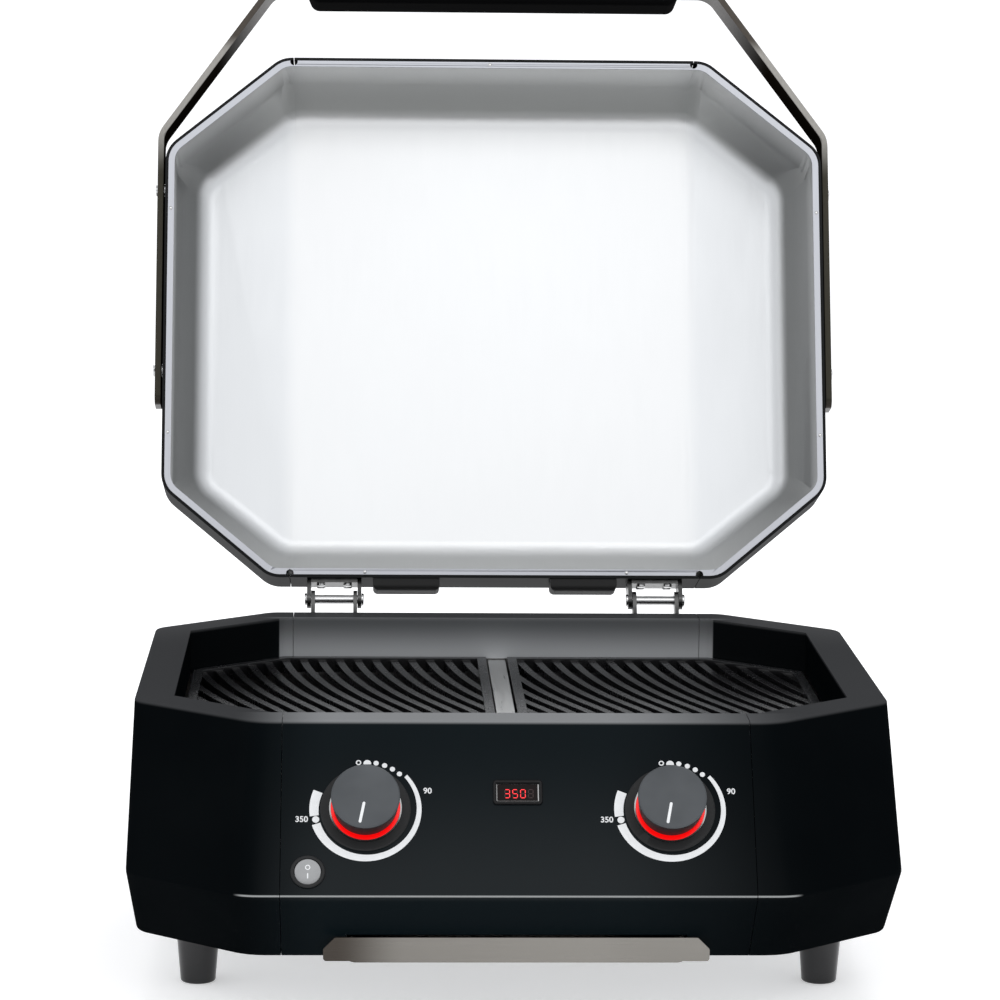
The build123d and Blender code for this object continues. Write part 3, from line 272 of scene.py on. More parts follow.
def harden(piece, width, angle):
    """Round a piece's sharp edges a little and let its flat faces shade flat."""
    alone(piece)
    bevel = piece.modifiers.new("edges", "BEVEL")
    bevel.width = width
    bevel.segments = 2
    bevel.limit_method = "ANGLE"
    bevel.angle_limit = math.radians(angle)
    bpy.ops.object.modifier_apply(modifier=bevel.name)
    bpy.ops.object.shade_smooth()
    weighted = piece.modifiers.new("flats", "WEIGHTED_NORMAL")
    weighted.weight = 100
    bpy.ops.object.modifier_apply(modifier=weighted.name)


def solidify(piece, thickness):
    """Give a flat piece a thickness on the side that it faces."""
    alone(piece)
    solid = piece.modifiers.new("thickness", "SOLIDIFY")
    solid.thickness = thickness
    solid.offset = 1
    bpy.ops.object.modifier_apply(modifier=solid.name)


def duplicate(name, mesh):
    """A new object with its own copy of a mesh."""
    piece = bpy.data.objects.new(name, mesh.copy())
    bpy.context.scene.collection.objects.link(piece)
    return piece


def refined(node, body, width=0.0, angle=22, folds=None, fold_width=0.0):
    """A merged copy of a frame node with its edges rounded, which stands for that node.

    Edges that turn more than the angle are rounded over the width, or kept sharp where it is 0.
    Edges whose ends pass the folds test are first rounded over the fold's width.
    """
    piece = duplicate(node + "_piece", nodes[node].data)
    alone(piece)
    bpy.ops.object.mode_set(mode="EDIT")
    bpy.ops.mesh.select_all(action="SELECT")
    bpy.ops.mesh.remove_doubles(threshold=0.00001)
    bpy.ops.mesh.dissolve_limited(angle_limit=math.radians(0.3))
    bpy.ops.object.mode_set(mode="OBJECT")
    if folds:
        choose(piece, folds)
        bpy.ops.object.mode_set(mode="EDIT")
        bpy.ops.mesh.select_mode(type="EDGE")
        bpy.ops.mesh.bevel(offset=fold_width, segments=4, affect="EDGES")
        bpy.ops.object.mode_set(mode="OBJECT")
    if width:
        harden(piece, width, angle)
    else:
        bpy.ops.object.shade_smooth_by_angle(angle=math.radians(angle))
    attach(piece, body)
    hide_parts(node)
    return piece


# Body: folded sheet in four panels, powder-coated black. The folds are pressed over a small
# radius, so the bevelled panels stand for the crisp ones of the frame.
panel_names = ("front_panel", "rear_panel", "end_panel_left", "end_panel_right")
panel_edge = 0.0006
panel_edge_angle = 15
crease_z = rim_z - crease_drop
crease_round = 0.0016
crease_near = 0.0012


def on_crease(point):
    return abs(point.z - crease_z) < crease_near


panels = [
    refined(name, "body", panel_edge, panel_edge_angle, on_crease, crease_round)
    for name in panel_names
]
panel_paint = Finish("black_powder_coat", {"Specular IOR Level": 0.0, "Coat Roughness": 0.30})
panel_peel = panel_paint.noise(900, 2.0)
panel_cloud = panel_paint.noise(9, 3.0)
across = panel_paint.place("X")
inwards = panel_paint.place("Y")
height = panel_paint.place("Z")

# Painted sheen: the coat lies on the middle of the front, grows towards its crease, is weak on
# the toe under the crease, and comes back on the rear.
left_share = panel_paint.ease(across, -0.220, -0.140)
right_share = 1.0 - panel_paint.ease(across, 0.060, 0.230)
middle_share = left_share * right_share
low_share = 1.0 - panel_paint.ease(height, crease_z, rim_z - 0.010)
above_toe = panel_paint.ease(height, crease_z - 0.006, crease_z) * 0.75 + 0.25
below_rim = 1.0 - panel_paint.ease(height, rim_z - 0.002, rim_z - 0.0003)
front_sheen = (low_share * 0.14 + 0.08) * middle_share * above_toe * below_rim
rear_sheen = panel_paint.ease(inwards, rim_front + 0.30, rim_front + 0.48) * 0.12
panel_paint.vary("Coat Weight", panel_cloud * 0.02 + (front_sheen + rear_sheen))

# Painted reflection: the black is painted lighter and bluish on the middle of the front.
plain_black = panel_paint.mix(
    panel_cloud, (0.0012, 0.0018, 0.0022, 1.0), (0.0022, 0.0030, 0.0036, 1.0)
)
panel_black = panel_paint.mix(middle_share, plain_black, (0.0018, 0.0046, 0.0062, 1.0))

# Painted reflection: the flat ledge round the tub, black paint like the rest, is painted dark
# grey, and light grey along the middle of its front.
ledge_width = 0.030
ledge_share = panel_paint.ease(height, rim_z - 0.003, rim_z - 0.0003)
front_ledge = 1.0 - panel_paint.ease(
    inwards, rim_front + ledge_width, rim_front + ledge_width + 0.004
)
ledge_reflection = panel_paint.mix(
    front_ledge * middle_share, (0.040, 0.041, 0.043, 1.0), (0.22, 0.225, 0.23, 1.0)
)
panel_black = panel_paint.mix(ledge_share, panel_black, ledge_reflection)

# A bright line runs along the crease of the front, where the fold catches the light.
crease_line = 0.0003
crease_fade = 0.0008
crease_share = panel_paint.within(
    height, crease_z - crease_line, crease_z + crease_line, crease_fade
) * (1.0 - panel_paint.ease(inwards, rim_front - 0.084, rim_front - 0.080))
panel_black = panel_paint.mix(crease_share, panel_black, (0.28, 0.29, 0.29, 1.0))

# Painted reflection: the black lip that hangs down behind the tub is painted light grey, fading
# towards its upper edge.
rim_rear = rim_front + body_depth
lip_half = 0.185
lip_reflection = (
    panel_paint.within(inwards, rim_rear - 0.033, rim_rear - 0.028, 0.001)
    * (1.0 - panel_paint.ease(height, rim_z - 0.036, rim_z - 0.002) * 0.75)
    * panel_paint.within(across, -lip_half, lip_half, 0.030)
)
panel_paint.colour(lip_reflection, panel_black, (0.36, 0.37, 0.38, 1.0))
panel_paint.vary("Roughness", panel_cloud * 0.08 + panel_peel * 0.06 + 0.40)
panel_paint.bump(panel_peel, 0.00002)
panel_paint.coat(*panels)

# Base plate: plain zinc-plated sheet that shows as a thin line under the body.
base_zinc = Finish("zinc_plate", {"Metallic": 1.0})
base_spangle = base_zinc.noise(60, 4.0)
base_zinc.colour(base_spangle, (0.42, 0.43, 0.44, 1), (0.58, 0.59, 0.60, 1))
base_zinc.vary("Roughness", base_spangle * 0.2 + 0.32)
base_zinc.coat("base_plate", "heat_shield", "tray_runners", "element_supports", "grate_rails")

# Feet: tapered glossy mouldings, turned smooth, with a rounded lower edge.
foot_names = ("foot_front_left", "foot_front_right", "foot_rear_left", "foot_rear_right")
feet = [refined(name, "body", 0.0006, 30) for name in foot_names]
foot_gloss = Finish(
    "glossy_moulding", {"Base Color": (0.006, 0.006, 0.007, 1.0), "Specular IOR Level": 0.5}
)
foot_wave = foot_gloss.noise(45, 2.0)
foot_gloss.vary("Roughness", foot_wave * 0.08 + 0.10)
foot_gloss.bump(foot_wave, 0.0001, 0.4)
foot_gloss.coat(*feet)

# Cooking tub: pressed stainless basin, darker and browner towards its floor.
tub_steel = Finish("heated_steel", {"Metallic": 1.0})
tub_stain = tub_steel.noise(14, 5.0)
tub_depth_mask = tub_steel.ease(tub_steel.place("Z"), rim_z - 0.09, rim_z - 0.01)
tub_tint = tub_steel.mix(tub_stain, (0.16, 0.14, 0.12, 1.0), (0.30, 0.28, 0.26, 1.0))
tub_steel.colour(tub_depth_mask, tub_tint, (0.34, 0.34, 0.34, 1.0))
tub_steel.vary("Roughness", tub_stain * 0.25 + 0.26)
tub_steel.coat("cooking_tub")

# Divider between the two zones: a bright folded channel of brushed stainless.
divider = refined("zone_divider", "body", 0.0006)
bright_steel = Finish("brushed_divider", {"Metallic": 1.0, "Base Color": (0.72, 0.72, 0.71, 1.0)})
divider_grain = bright_steel.noise(900, 2.0, (1.0, 0.02, 1.0))
bright_steel.vary("Roughness", divider_grain * 0.2 + 0.22)
bright_steel.bump(divider_grain, 0.00003, 0.6)
bright_steel.coat(divider)

# Grates: cast iron under black enamel, with a slightly pebbled skin and a painted highlight on
# their crowns.
grates = [
    refined("grate_left", "grate_left", 0.0005, 40),
    refined("grate_right", "grate_right", 0.0005, 40),
]
enamel = Finish("enamelled_iron", {"Specular IOR Level": 0.5})
enamel_pebble = enamel.noise(380, 3.0)
enamel_soot = enamel.noise(22, 4.0)
grate_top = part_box("grate_left")[1].z
# The crowns are painted lighter: a painted highlight.
crown_highlight = enamel.ease(enamel.place("Z"), grate_top - 0.0025, grate_top)
enamel_black = enamel.mix(enamel_soot, (0.003, 0.003, 0.0035, 1.0), (0.009, 0.009, 0.010, 1.0))
enamel.colour(crown_highlight * 0.5, enamel_black, (0.030, 0.031, 0.033, 1.0))
enamel.vary("Roughness", enamel_soot * 0.16 + enamel_pebble * 0.10 + 0.12)
enamel.bump(enamel_pebble, 0.00022, 0.7)
enamel.coat(*grates)

# Heating elements: sheathed tubes, oxidised brown-black.
elements = [
    refined("heating_element_left", "body", 0, 40),
    refined("heating_element_right", "body", 0, 40),
]
oxide = Finish("oxidised_sheath", {"Metallic": 0.8})
oxide_cloud = oxide.noise(40, 4.0)
oxide.colour(oxide_cloud, (0.045, 0.038, 0.036, 1.0), (0.11, 0.09, 0.08, 1.0))
oxide.vary("Roughness", oxide_cloud * 0.2 + 0.42)
oxide.coat(*elements)


# Tools for the sloping front: its directions, and the flat shapes that are printed on it.
panel_up = Vector((0, math.sin(panel_lean), math.cos(panel_lean)))
panel_out = Vector((0, -math.cos(panel_lean), math.sin(panel_lean)))


def on_panel(x, down, proud=0.0):
    """Place on the sloping front: X right, Y up the slope, Z out of it."""
    spot = Vector((x, rim_front, rim_z)) - panel_up * down + panel_out * proud
    turn = Matrix(((1, 0, 0), (0, panel_up.y, panel_out.y), (0, panel_up.z, panel_out.z)))
    return Matrix.Translation(spot) @ turn.to_4x4()


def around(radius, degrees):
    """A point at an angle clockwise from the top of a dial."""
    angle = math.radians(degrees)
    return (radius * math.sin(angle), radius * math.cos(angle), 0)


def put(piece, place):
    """Apply a place to a piece's mesh, with the object left at the origin."""
    alone(piece)
    piece.matrix_world = place @ piece.matrix_world
    bpy.ops.object.transform_apply(location=True, rotation=True, scale=True)


def joined(pieces, name):
    """Join pieces into one."""
    bpy.ops.object.select_all(action="DESELECT")
    for piece in pieces:
        piece.select_set(True)
    bpy.context.view_layer.objects.active = pieces[0]
    bpy.ops.object.join()
    pieces[0].name = name
    return pieces[0]


def dot(radius, centre, vertices=32):
    """A flat disc."""
    bpy.ops.mesh.primitive_circle_add(
        vertices=vertices, radius=radius, fill_type="NGON", location=centre
    )
    bpy.ops.object.transform_apply(location=True, rotation=True, scale=True)
    return bpy.context.object


def pill(width, length):
    """A flat bar with round ends, upright."""
    piece = dot(width / 2, (0, 0, 0))
    stretch(piece, length - width)
    return piece


def stretch(piece, distance):
    """Draw the upper and lower halves of a disc apart."""
    for vertex in piece.data.vertices:
        vertex.co.y += math.copysign(distance / 2, vertex.co.y)


def washer(outer, inner, centre, vertices=180):
    """A flat ring."""
    piece = dot(outer, (0, 0, 0), vertices)
    bpy.ops.object.mode_set(mode="EDIT")
    bpy.ops.mesh.select_all(action="SELECT")
    bpy.ops.mesh.inset(thickness=outer - inner, depth=0)
    bpy.ops.mesh.delete(type="FACE")
    bpy.ops.object.mode_set(mode="OBJECT")
    put(piece, Matrix.Translation(centre))
    return piece


def angle_of(point):
    """The angle of a point, clockwise from the top of a dial."""
    return math.degrees(math.atan2(point.x, point.y)) % 360


def scale_band(start, end):
    """A band of a dial's scale between two angles, part of the sweep that thickens inwards."""
    piece = washer(scale_outer, scale_inner_start, (0, 0, 0))
    cut_faces(piece, lambda face: not start < angle_of(face.center) < end)
    middle = (scale_outer + scale_inner_start) / 2
    for vertex in piece.data.vertices:
        if vertex.co.length < middle:
            share = (angle_of(vertex.co) - scale_start) / (scale_end - scale_start)
            inner = scale_inner_start + (scale_inner_end - scale_inner_start) * share
            vertex.co = vertex.co.normalized() * inner
    return piece


def numeral(text, size, centre):
    """A printed number, centred on a point."""
    bpy.ops.object.text_add()
    piece = bpy.context.object
    piece.data.body = text
    piece.data.size = size
    piece.data.align_x = "CENTER"
    piece.data.align_y = "CENTER"
    piece.data.offset = size * numeral_weight
    bpy.ops.object.convert(target="MESH")
    piece = bpy.context.object
    put(piece, Matrix.Translation(centre))
    return piece


# Dials: on each side a black disc, a red light guide inside a bright ring, a satin knob with a
# white line, and the white scale printed on the panel round them.
numeral_weight = 0.022
dial_x = 0.1165
dial_down = 0.0745
scale_outer = 0.0428
scale_inner_start = 0.0399
scale_inner_end = 0.0354
scale_start = 49
scale_end = 291
high_mark = 257.3
high_gap = 5.2
high_radius = 0.0388
high_dot = 0.0027
mark_radius = 0.0392
off_mark = -8
off_outer = 0.0021
off_inner = 0.0012
dome_mark = 1.9
dome_radius = 0.0030
dome_inset = 0.0012
dome_cut = 0.0018
low_marks = (11.8, 21.8, 31.6, 41.4)
low_dot = 0.0020
numeral_size = 0.0066
low_numeral = (0.0474, 0.0152, 0)
high_numeral = (-0.0486, -0.0085, 0)
print_lift = 0.00005
print_thickness = 0.00015
print_white = Finish("white_print", {"Specular IOR Level": 0.3})
print_wear = print_white.noise(220, 3.0)
print_white.colour(print_wear, (0.74, 0.75, 0.76, 1), (0.86, 0.87, 0.88, 1))
print_white.vary("Roughness", print_wear * 0.15 + 0.45)

bezel_black = Finish(
    "bezel_moulding", {"Base Color": (0.014, 0.0145, 0.015, 1.0), "Specular IOR Level": 0.2}
)
bezel_grain = bezel_black.noise(700, 2.0)
bezel_black.vary("Roughness", bezel_grain * 0.15 + 0.4)
ring_red = Finish(
    "lit_guide",
    {"Base Color": (0.45, 0.002, 0.002, 1.0), "Roughness": 0.3, "Emission Strength": 0.75},
)
ring_glow = ring_red.noise(60, 2.0)
ring_red.vary(
    "Emission Color", ring_red.mix(ring_glow, (0.85, 0.0, 0.001, 1.0), (1.0, 0.002, 0.002, 1.0))
)
trim_chrome = Finish("plated_ring", {"Metallic": 1.0, "Base Color": (0.22, 0.22, 0.22, 1.0)})
trim_grain = trim_chrome.noise(200, 2.0)
trim_chrome.vary("Roughness", trim_grain * 0.1 + 0.12)

# The knob's top is grey and its side is black.
bezel_rise = 0.0072
knob_height = 0.019
knob_top = bezel_rise + knob_height
knob_satin = Finish("knob_moulding", {"Specular IOR Level": 0.3})
knob_grain = knob_satin.noise(1400, 2.0)
knob_cloud = knob_satin.noise(30, 2.0)
knob_lift = knob_satin.along(panel_out, Vector((0, rim_front, rim_z)))
knob_side_share = 1.0 - knob_satin.ease(knob_lift, knob_top - 0.0015, knob_top - 0.0010)
knob_grey = knob_satin.mix(knob_cloud, (0.030, 0.035, 0.040, 1), (0.085, 0.092, 0.099, 1))
knob_satin.colour(knob_side_share, knob_grey, (0.006, 0.006, 0.0065, 1))
knob_satin.vary("Roughness", knob_cloud * 0.1 + knob_grain * 0.08 + 0.32)
knob_satin.bump(knob_grain, 0.00002, 0.6)

pointer_length = 0.0175
pointer_width = 0.0022
pointer_angle = 191
pointer_middle = 0.005 + pointer_length / 2
pointer_sunk = 0.0003
for hand, side in ((-1, "left"), (1, "right")):
    bezel_black.coat(refined(f"dial_bezel_{side}", "body", 0, 30))
    ring_red.coat(refined(f"light_ring_{side}", "body", 0, 50))
    knob_satin.coat(refined(f"knob_{side}", f"knob_{side}", 0.0003, 35))

    pointer = pill(pointer_width, pointer_length)
    put(
        pointer,
        on_panel(hand * dial_x, dial_down, knob_top - pointer_sunk)
        @ Matrix.Rotation(-math.radians(pointer_angle), 4, "Z")
        @ Matrix.Translation((0, pointer_middle, 0)),
    )
    solidify(pointer, print_thickness)
    pointer.name = f"knob_line_{side}"
    print_white.coat(pointer)
    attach(pointer, f"knob_{side}")

    dome = dot(dome_radius, around(mark_radius - dome_inset, dome_mark))
    for vertex in dome.data.vertices:
        vertex.co.y = max(vertex.co.y, mark_radius - dome_cut)
    marks = [
        scale_band(scale_start, high_mark - high_gap),
        scale_band(high_mark + high_gap, scale_end),
        dot(high_dot, around(high_radius, high_mark)),
        washer(off_outer, off_inner, around(mark_radius, off_mark), 32),
        numeral("90", numeral_size, low_numeral),
        numeral("350", numeral_size, high_numeral),
        *(dot(low_dot, around(mark_radius, degrees)) for degrees in low_marks),
        dome,
    ]
    dial_print = joined(marks, f"dial_print_{side}")
    put(dial_print, on_panel(hand * dial_x, dial_down, print_lift))
    solidify(dial_print, print_thickness)
    print_white.coat(dial_print)
    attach(dial_print, "body")

trim_chrome.coat(refined("trim_rings", "body", 0, 40))

# Display: a thin frame round a dark red-tinted window, with lit bars behind it that show three
# plain digits and a fourth that is off.
display_down = dial_down - 0.014
frame_gloss = Finish(
    "glossy_frame", {"Base Color": (0.004, 0.004, 0.0045, 1.0), "Specular IOR Level": 0.12}
)
frame_wave = frame_gloss.noise(200, 2.0)
frame_gloss.vary("Roughness", frame_wave * 0.1 + 0.12)
frame_gloss.coat(refined("display_bezel", "body", 0.0003))
window = Finish(
    "tinted_window", {"Base Color": (0.004, 0.001, 0.001, 1.0), "Specular IOR Level": 0.08}
)
window_smear = window.noise(80, 3.0)
window.vary("Roughness", window_smear * 0.12 + 0.12)
window.coat(refined("display_lens", "body"))

# Painted highlights: bright lines along the edges of the window, where its recessed sides catch
# the light, wider on its right and its lower side.
frame_rise = 0.0018
lens_sunk = 0.002
on_lens = on_panel(0, display_down, frame_rise - lens_sunk + 0.00003)
window_width = 0.0324
window_height = 0.0149
highlight_width = 0.0004
edges = []
for side_x, side_y, width, height in (
    (-1, 0, highlight_width, window_height), (1, 0, 2 * highlight_width, window_height),
    (0, -1, window_width, 1.5 * highlight_width), (0, 1, window_width, highlight_width),
):
    bpy.ops.mesh.primitive_plane_add(size=1)
    edge = bpy.context.object
    edge.scale = (width, height, 1)
    spot = (side_x * (window_width - width) / 2, side_y * (window_height - height) / 2, 0)
    put(edge, Matrix.Translation(spot))
    edges.append(edge)
window_highlights = joined(edges, "display_window_highlights")
put(window_highlights, on_lens)
solidify(window_highlights, 0.0001)
trim_chrome.coat(window_highlights)
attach(window_highlights, "body")

# Each digit is made of seven bars: across or upright, lit or unlit.
digit_height = 0.0068
digit_width = 0.0036
digit_pitch = 0.0060
bar_width = 0.0007
bar_thickness = 0.00005
digit_shift = 0.001
digit_drop = 0.0008
bar_slots = {
    "top": (0, 1, 0), "upper_left": (-1, 0.5, 1), "upper_right": (1, 0.5, 1), "middle": (0, 0, 0),
    "lower_left": (-1, -0.5, 1), "lower_right": (1, -0.5, 1), "bottom": (0, -1, 0),
}
digit_bars = {
    "3": ("top", "upper_right", "middle", "lower_right", "bottom"),
    "5": ("top", "upper_left", "middle", "lower_right", "bottom"),
    "0": ("top", "upper_left", "upper_right", "lower_left", "lower_right", "bottom"),
    "off": (),
}
lit = []
unlit = []
for number, digit in enumerate(("3", "5", "0", "off")):
    centre_x = (number - 1.5) * digit_pitch + digit_shift
    for bar, (side_x, side_y, upright) in bar_slots.items():
        length = digit_height / 2 if upright else digit_width
        piece = dot(bar_width / 2, (0, 0, 0), 6)
        stretch(piece, length - 2 * bar_width)
        turn = Matrix.Identity(4) if upright else Matrix.Rotation(math.pi / 2, 4, "Z")
        spot = (centre_x + side_x * digit_width / 2, side_y * digit_height / 2 - digit_drop, 0)
        put(piece, Matrix.Translation(spot) @ turn)
        (lit if bar in digit_bars[digit] else unlit).append(piece)
bars_lit = Finish("lit_bars", {"Base Color": (0.4, 0.0, 0.0, 1.0), "Emission Strength": 1.5})
bars_flicker = bars_lit.noise(900, 1.0)
bars_lit.vary(
    "Emission Color", bars_lit.mix(bars_flicker, (0.80, 0.02, 0.03, 1), (1.0, 0.05, 0.06, 1))
)
bars_dark = Finish("unlit_bars", {"Roughness": 0.5})
bars_dust = bars_dark.noise(900, 1.0)
bars_dark.colour(bars_dust, (0.020, 0.003, 0.003, 1), (0.032, 0.005, 0.005, 1))
for pieces, name, finish in (
    (lit, "display_digits", bars_lit), (unlit, "display_unlit_bars", bars_dark),
):
    digits = joined(pieces, name)
    put(digits, on_lens)
    solidify(digits, bar_thickness)
    finish.coat(digits)
    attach(digits, "body")

# Mains switch: a round black housing and a light grey rocker, pressed in at its lower half, with
# a ring for off and a bar for on.
switch_x = -0.160
switch_down = 0.1263
switch_sunk = 0.001
rocker_tilt = math.radians(8)
rocker_face = 0.0025
off_rise = 0.0036
on_drop = 0.0030
on_width = 0.001
on_length = 0.0042
bezel_black.coat(refined("switch_housing", "body", 0.0002, 35))
rocker_grey = Finish("rocker_moulding", {"Specular IOR Level": 0.5})
rocker_cloud = rocker_grey.noise(120, 2.0)
rocker_grey.colour(rocker_cloud, (0.26, 0.265, 0.27, 1), (0.32, 0.325, 0.33, 1))
rocker_grey.vary("Roughness", rocker_cloud * 0.1 + 0.3)
rocker_grey.coat(refined("switch_rocker", "rocker", 0, 35))
off_ring = washer(0.0020, 0.0013, (0, off_rise, 0), 40)
on_bar = pill(on_width, on_length)
put(on_bar, Matrix.Translation((0, -on_drop, 0)))
rocker_marks = joined([off_ring, on_bar], "rocker_marks")
put(
    rocker_marks,
    on_panel(switch_x, switch_down, -switch_sunk)
    @ Matrix.Rotation(rocker_tilt, 4, "X")
    @ Matrix.Translation((0, 0, rocker_face + 0.00002)),
)
solidify(rocker_marks, 0.0001)
print_white.coat(rocker_marks)
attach(rocker_marks, "rocker")

# Drip tray: folded stainless, brushed from side to side, with a painted reflection that leaves it
# darker at the left end of its front.
tray = refined("drip_tray", "drip_tray", 0.0004)
tray_steel = Finish("brushed_tray", {"Metallic": 1.0})
tray_grain = tray_steel.noise(1100, 2.0, (0.015, 1.0, 1.0))
tray_cloud = tray_steel.noise(5, 2.0)
tray_reflection = tray_steel.ease(tray_steel.place("X"), -0.140, -0.085)
tray_bright = tray_steel.mix(tray_cloud, (0.17, 0.160, 0.145, 1), (0.28, 0.268, 0.246, 1))
tray_steel.colour(tray_reflection, (0.06, 0.052, 0.045, 1), tray_bright)
tray_steel.vary("Roughness", tray_grain * 0.22 + 0.20)
tray_steel.bump(tray_grain, 0.00003, 0.6)
tray_steel.coat(tray)

# Hinges: plain ground steel leaves on bright headed pins, with plated screws.
hinge_steel = Finish("ground_steel", {"Metallic": 1.0})
hinge_scuff = hinge_steel.noise(160, 4.0)
hinge_steel.colour(hinge_scuff, (0.035, 0.035, 0.035, 1), (0.13, 0.13, 0.128, 1))
hinge_steel.vary("Roughness", hinge_scuff * 0.25 + 0.2)
pin_steel = Finish("bright_pin", {"Metallic": 1.0, "Base Color": (0.55, 0.55, 0.55, 1.0)})
pin_scuff = pin_steel.noise(300, 3.0)
pin_steel.vary("Roughness", pin_scuff * 0.2 + 0.12)
for side in ("left", "right"):
    hinge_steel.coat(
        refined(f"hinge_body_leaf_{side}", "body", 0.0003, 35),
        refined(f"hinge_lid_leaf_{side}", "lid", 0.0003, 35),
    )
    pin_steel.coat(refined(f"hinge_pin_{side}", "body", 0, 40))
pin_steel.coat(
    refined("hinge_screws_body", "body", 0, 40),
    refined("hinge_screws_lid", "lid", 0, 40),
    refined("handle_screws", "lid", 0, 40),
    "foot_screws", "bush_nuts", "control_shaft_left", "control_shaft_right",
)

# Lid: three powder-coated outer panels over a bright liner of the same eight-sided shape, each
# open towards the body. The lid stands open, 18.5 degrees past upright.
open_turn = math.radians(108.5)
lid_up = Vector((0, math.sin(open_turn), math.cos(open_turn)))
lid_back = Vector((0, math.cos(open_turn), -math.sin(open_turn)))
hinge_back = 0.019
hinge_rise = 0.0082
lid_gap = 0.001
lid_origin = (
    Vector((0, rim_front + body_depth + hinge_back, rim_z + hinge_rise))
    - lid_back * (body_depth + hinge_back)
    + lid_up * (lid_gap - hinge_rise)
)


def in_lid(x, back, height):
    """Place in the open lid: X right, Y from its closed front to its back, Z up from its rim."""
    spot = lid_origin + Vector((x, 0, 0)) + lid_back * back + lid_up * height
    turn = Matrix(((1, 0, 0), (0, lid_back.y, lid_up.y), (0, lid_back.z, lid_up.z)))
    return Matrix.Translation(spot) @ turn.to_4x4()


lid_panels = [
    refined(name, "lid", 0.0005, 22)
    for name in ("lid_centre_panel", "lid_end_left", "lid_end_right")
]
lid_paint = Finish("lid_powder_coat", {"Specular IOR Level": 0.0, "Coat Roughness": 0.32})
lid_peel = lid_paint.noise(900, 2.0)
lid_cloud = lid_paint.noise(7, 3.0)
lid_paint.colour(lid_cloud, (0.0022, 0.0026, 0.0030, 1.0), (0.0040, 0.0046, 0.0052, 1.0))
lid_paint.vary("Coat Weight", lid_cloud * 0.08 + 0.16)
lid_paint.vary("Roughness", lid_cloud * 0.08 + lid_peel * 0.06 + 0.40)
lid_paint.bump(lid_peel, 0.00002)
lid_paint.coat(*lid_panels)
liners = [
    refined(name, "lid", 0, 35)
    for name in ("lid_liner_centre", "lid_liner_left", "lid_liner_right")
]
liner_steel = Finish("bright_liner", {"Metallic": 1.0})
liner_cloud = liner_steel.noise(3, 3.0)
liner_grain = liner_steel.noise(700, 2.0, (1.0, 0.03, 0.03))
lid_height = liner_steel.along(lid_up, lid_origin)
from_middle = liner_steel.off_middle()

# Painted shade: its walls are painted darker towards the roof and towards the two ends, but stay
# bright near the hinges.
wall_end = 0.086
near_hinge = 1.0 - liner_steel.ease(liner_steel.place("Z"), rim_z + 0.060, rim_z + 0.110)
depth_share = liner_steel.ease(lid_height, 0.004, 0.080) * (1.0 - near_hinge * 0.7)
middle_wall = liner_steel.mix(depth_share, (0.68, 0.685, 0.68, 1.0), (0.50, 0.508, 0.50, 1.0))
end_wall = liner_steel.mix(depth_share, (0.46, 0.46, 0.455, 1.0), (0.25, 0.253, 0.25, 1.0))
end_share = liner_steel.ease(from_middle, 0.16, 0.27)
liner_wall = liner_steel.mix(end_share, middle_wall, end_wall)

# Painted shade and reflection: its roof is bright and painted a little greyer beyond the seams;
# its band at the rim is painted bluish grey.
liner_middle = liner_steel.mix(liner_cloud, (0.66, 0.67, 0.675, 1.0), (0.73, 0.735, 0.74, 1.0))
beyond_seam = liner_steel.ease(from_middle, 0.178, 0.198)
liner_roof = liner_steel.mix(beyond_seam * 0.7, liner_middle, (0.60, 0.615, 0.63, 1.0))
roof_share = liner_steel.ease(lid_height, wall_end, wall_end + 0.0125)
liner_inside = liner_steel.mix(roof_share, liner_wall, liner_roof)
band_height = 0.0010
band_share = 1.0 - liner_steel.ease(lid_height, band_height, band_height + 0.0006)
liner_steel.colour(band_share, liner_inside, (0.43, 0.44, 0.47, 1.0))
liner_steel.vary("Roughness", liner_grain * 0.05 + liner_cloud * 0.1 + 0.375)
liner_steel.coat(*liners)

# Its panels are butted together, so thin strips of their own section close the slits between them.
lid_seam_gap = 0.0006
seam_strips = []
for liner in liners[1:]:
    strip = duplicate("liner_seam", liner.data)
    points = strip.data.vertices
    seam_x = min(abs(point.co.x) for point in points)
    cut_faces(
        strip,
        lambda face: any(abs(points[index].co.x) - seam_x > 0.00001 for index in face.vertices),
    )
    solidify(strip, lid_seam_gap)
    seam_strips.append(strip)
seam_strips = joined(seam_strips, "liner_seam_strips")
liner_steel.coat(seam_strips)
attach(seam_strips, "lid")

# Small domed rivets hold its band: one at the front, two at the back and two at each end.
rivet_radius = 0.0017
rivet_dome = 0.4
rivets = []
for x, back in (
    (-0.004, 0.0052), (-0.1175, 0.4808), (0.119, 0.4808),
    (-0.2968, 0.144), (-0.2968, 0.353), (0.2968, 0.144), (0.2968, 0.353),
):
    bpy.ops.mesh.primitive_uv_sphere_add(segments=20, ring_count=10, radius=rivet_radius)
    rivet = bpy.context.object
    rivet.scale.z = rivet_dome
    put(rivet, in_lid(x, back, 0.0))
    rivets.append(rivet)
rivets = joined(rivets, "band_rivets")
bpy.ops.object.shade_smooth()
pin_steel.coat(rivets)
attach(rivets, "lid")

# Two rubber bumpers on the lid's rear wall, under its rim when it is open.
bumper_rubber = Finish("black_rubber", {"Specular IOR Level": 0.3})
rubber_grain = bumper_rubber.noise(500, 3.0)
bumper_rubber.colour(rubber_grain, (0.006, 0.006, 0.006, 1), (0.012, 0.012, 0.012, 1))
bumper_rubber.vary("Roughness", rubber_grain * 0.2 + 0.55)
bumper_rubber.coat(refined("bumpers", "lid", 0.0005, 35))

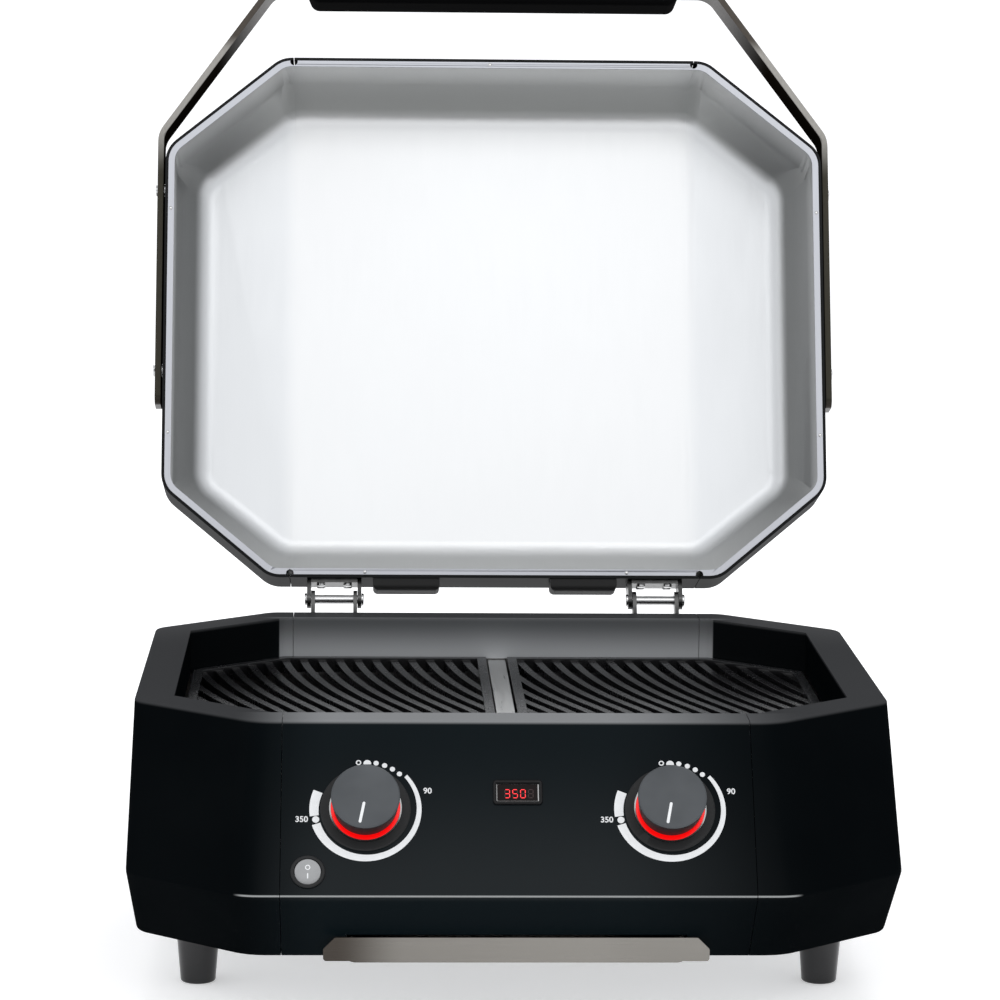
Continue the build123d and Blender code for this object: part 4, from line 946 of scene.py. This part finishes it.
# Handle: a bent strip of stainless with a moulded black grip. The strip's broad faces are painted
# dark and its narrow front edge painted bright along the lower half of its arms, as painted
# reflections.
strap = refined("handle_strap", "lid", 0.0005, 35)
strap_steel = Finish("strip_steel", {"Specular IOR Level": 0.0})
strap_cloud = strap_steel.noise(16, 3.0)
strap_grain = strap_steel.noise(900, 2.0, (1.0, 1.0, 0.05))
strap_start = 0.012
strap_half = 0.30695
strap_bend = 0.070
strap_inside = -0.0025
strap_lift = strap_steel.along(lid_up, lid_origin)
strap_back = strap_steel.along(lid_back, lid_origin)

# How far out a point lies from the strip's middle line: its straight ends or its slanted arms.
arm_out_x = 0.8160
arm_out_back = -0.5782
end_out = strap_steel.off_middle() - strap_half
arm_out = end_out * arm_out_x + (strap_back - strap_bend) * arm_out_back
strap_out = end_out.math("MAXIMUM", end_out, arm_out)

# Painted reflection: the face towards the lid is painted black, and turns to steel towards the
# grip.
inner_face = 1.0 - strap_steel.ease(strap_out, strap_inside, strap_inside + 0.0002)
strap_shade = inner_face * strap_steel.ease(strap_back, -0.085, 0.005)
strap_steel.vary("Metallic", 1.0 - strap_shade)
strap_face = strap_steel.mix(strap_cloud, (0.020, 0.017, 0.014, 1), (0.050, 0.044, 0.038, 1))
strap_face = strap_steel.mix(strap_shade, strap_face, (0.009, 0.007, 0.005, 1))

# Painted reflection: the edge is painted dark near the grip, bright from there to the bend, and
# dark again behind it.
from_grip = strap_steel.ease(strap_back, -0.026, -0.008)
past_bend = strap_steel.ease(strap_back, 0.060, 0.110)
strap_edge = strap_steel.mix(from_grip, (0.050, 0.044, 0.038, 1), (0.21, 0.203, 0.190, 1))
strap_edge = strap_steel.mix(past_bend, strap_edge, (0.030, 0.028, 0.022, 1))
off_edge = strap_steel.ease(strap_lift, strap_start + 0.0002, strap_start + 0.0012)
strap_steel.colour(off_edge, strap_edge, strap_face)
strap_steel.vary("Roughness", strap_grain * 0.2 + 0.26)
strap_steel.coat(strap)
grip = refined("handle_grip", "lid", 0.0003, 35)
grip_black = Finish(
    "grip_moulding", {"Specular IOR Level": 0.0, "Coat Weight": 0.02, "Coat Roughness": 0.4}
)
grip_grain = grip_black.noise(800, 3.0)
grip_black.colour(grip_grain, (0.0022, 0.0022, 0.0024, 1), (0.0045, 0.0045, 0.0048, 1))
grip_black.vary("Roughness", grip_grain * 0.2 + 0.42)
grip_black.bump(grip_grain, 0.00004, 0.6)
grip_black.coat(grip)

# Inner pieces: the board with its relays, the mouldings of the regulators, block, inlet and
# display, and the probes.
board_green = Finish("solder_mask", {"Roughness": 0.35})
board_tracks = board_green.noise(120, 3.0)
board_green.colour(board_tracks, (0.01, 0.09, 0.03, 1), (0.02, 0.16, 0.06, 1))
board_green.coat("control_board")
inner_plastic = Finish("inner_moulding", {"Specular IOR Level": 0.4})
inner_grain = inner_plastic.noise(400, 3.0)
inner_plastic.colour(inner_grain, (0.012, 0.012, 0.012, 1), (0.022, 0.022, 0.022, 1))
inner_plastic.vary("Roughness", inner_grain * 0.2 + 0.4)
inner_plastic.coat("regulator_left", "regulator_right", "terminal_block", "display_module")
inner_plastic.coat(refined("power_inlet", "body", 0.0003, 35))
bright_steel.coat("temperature_probes")
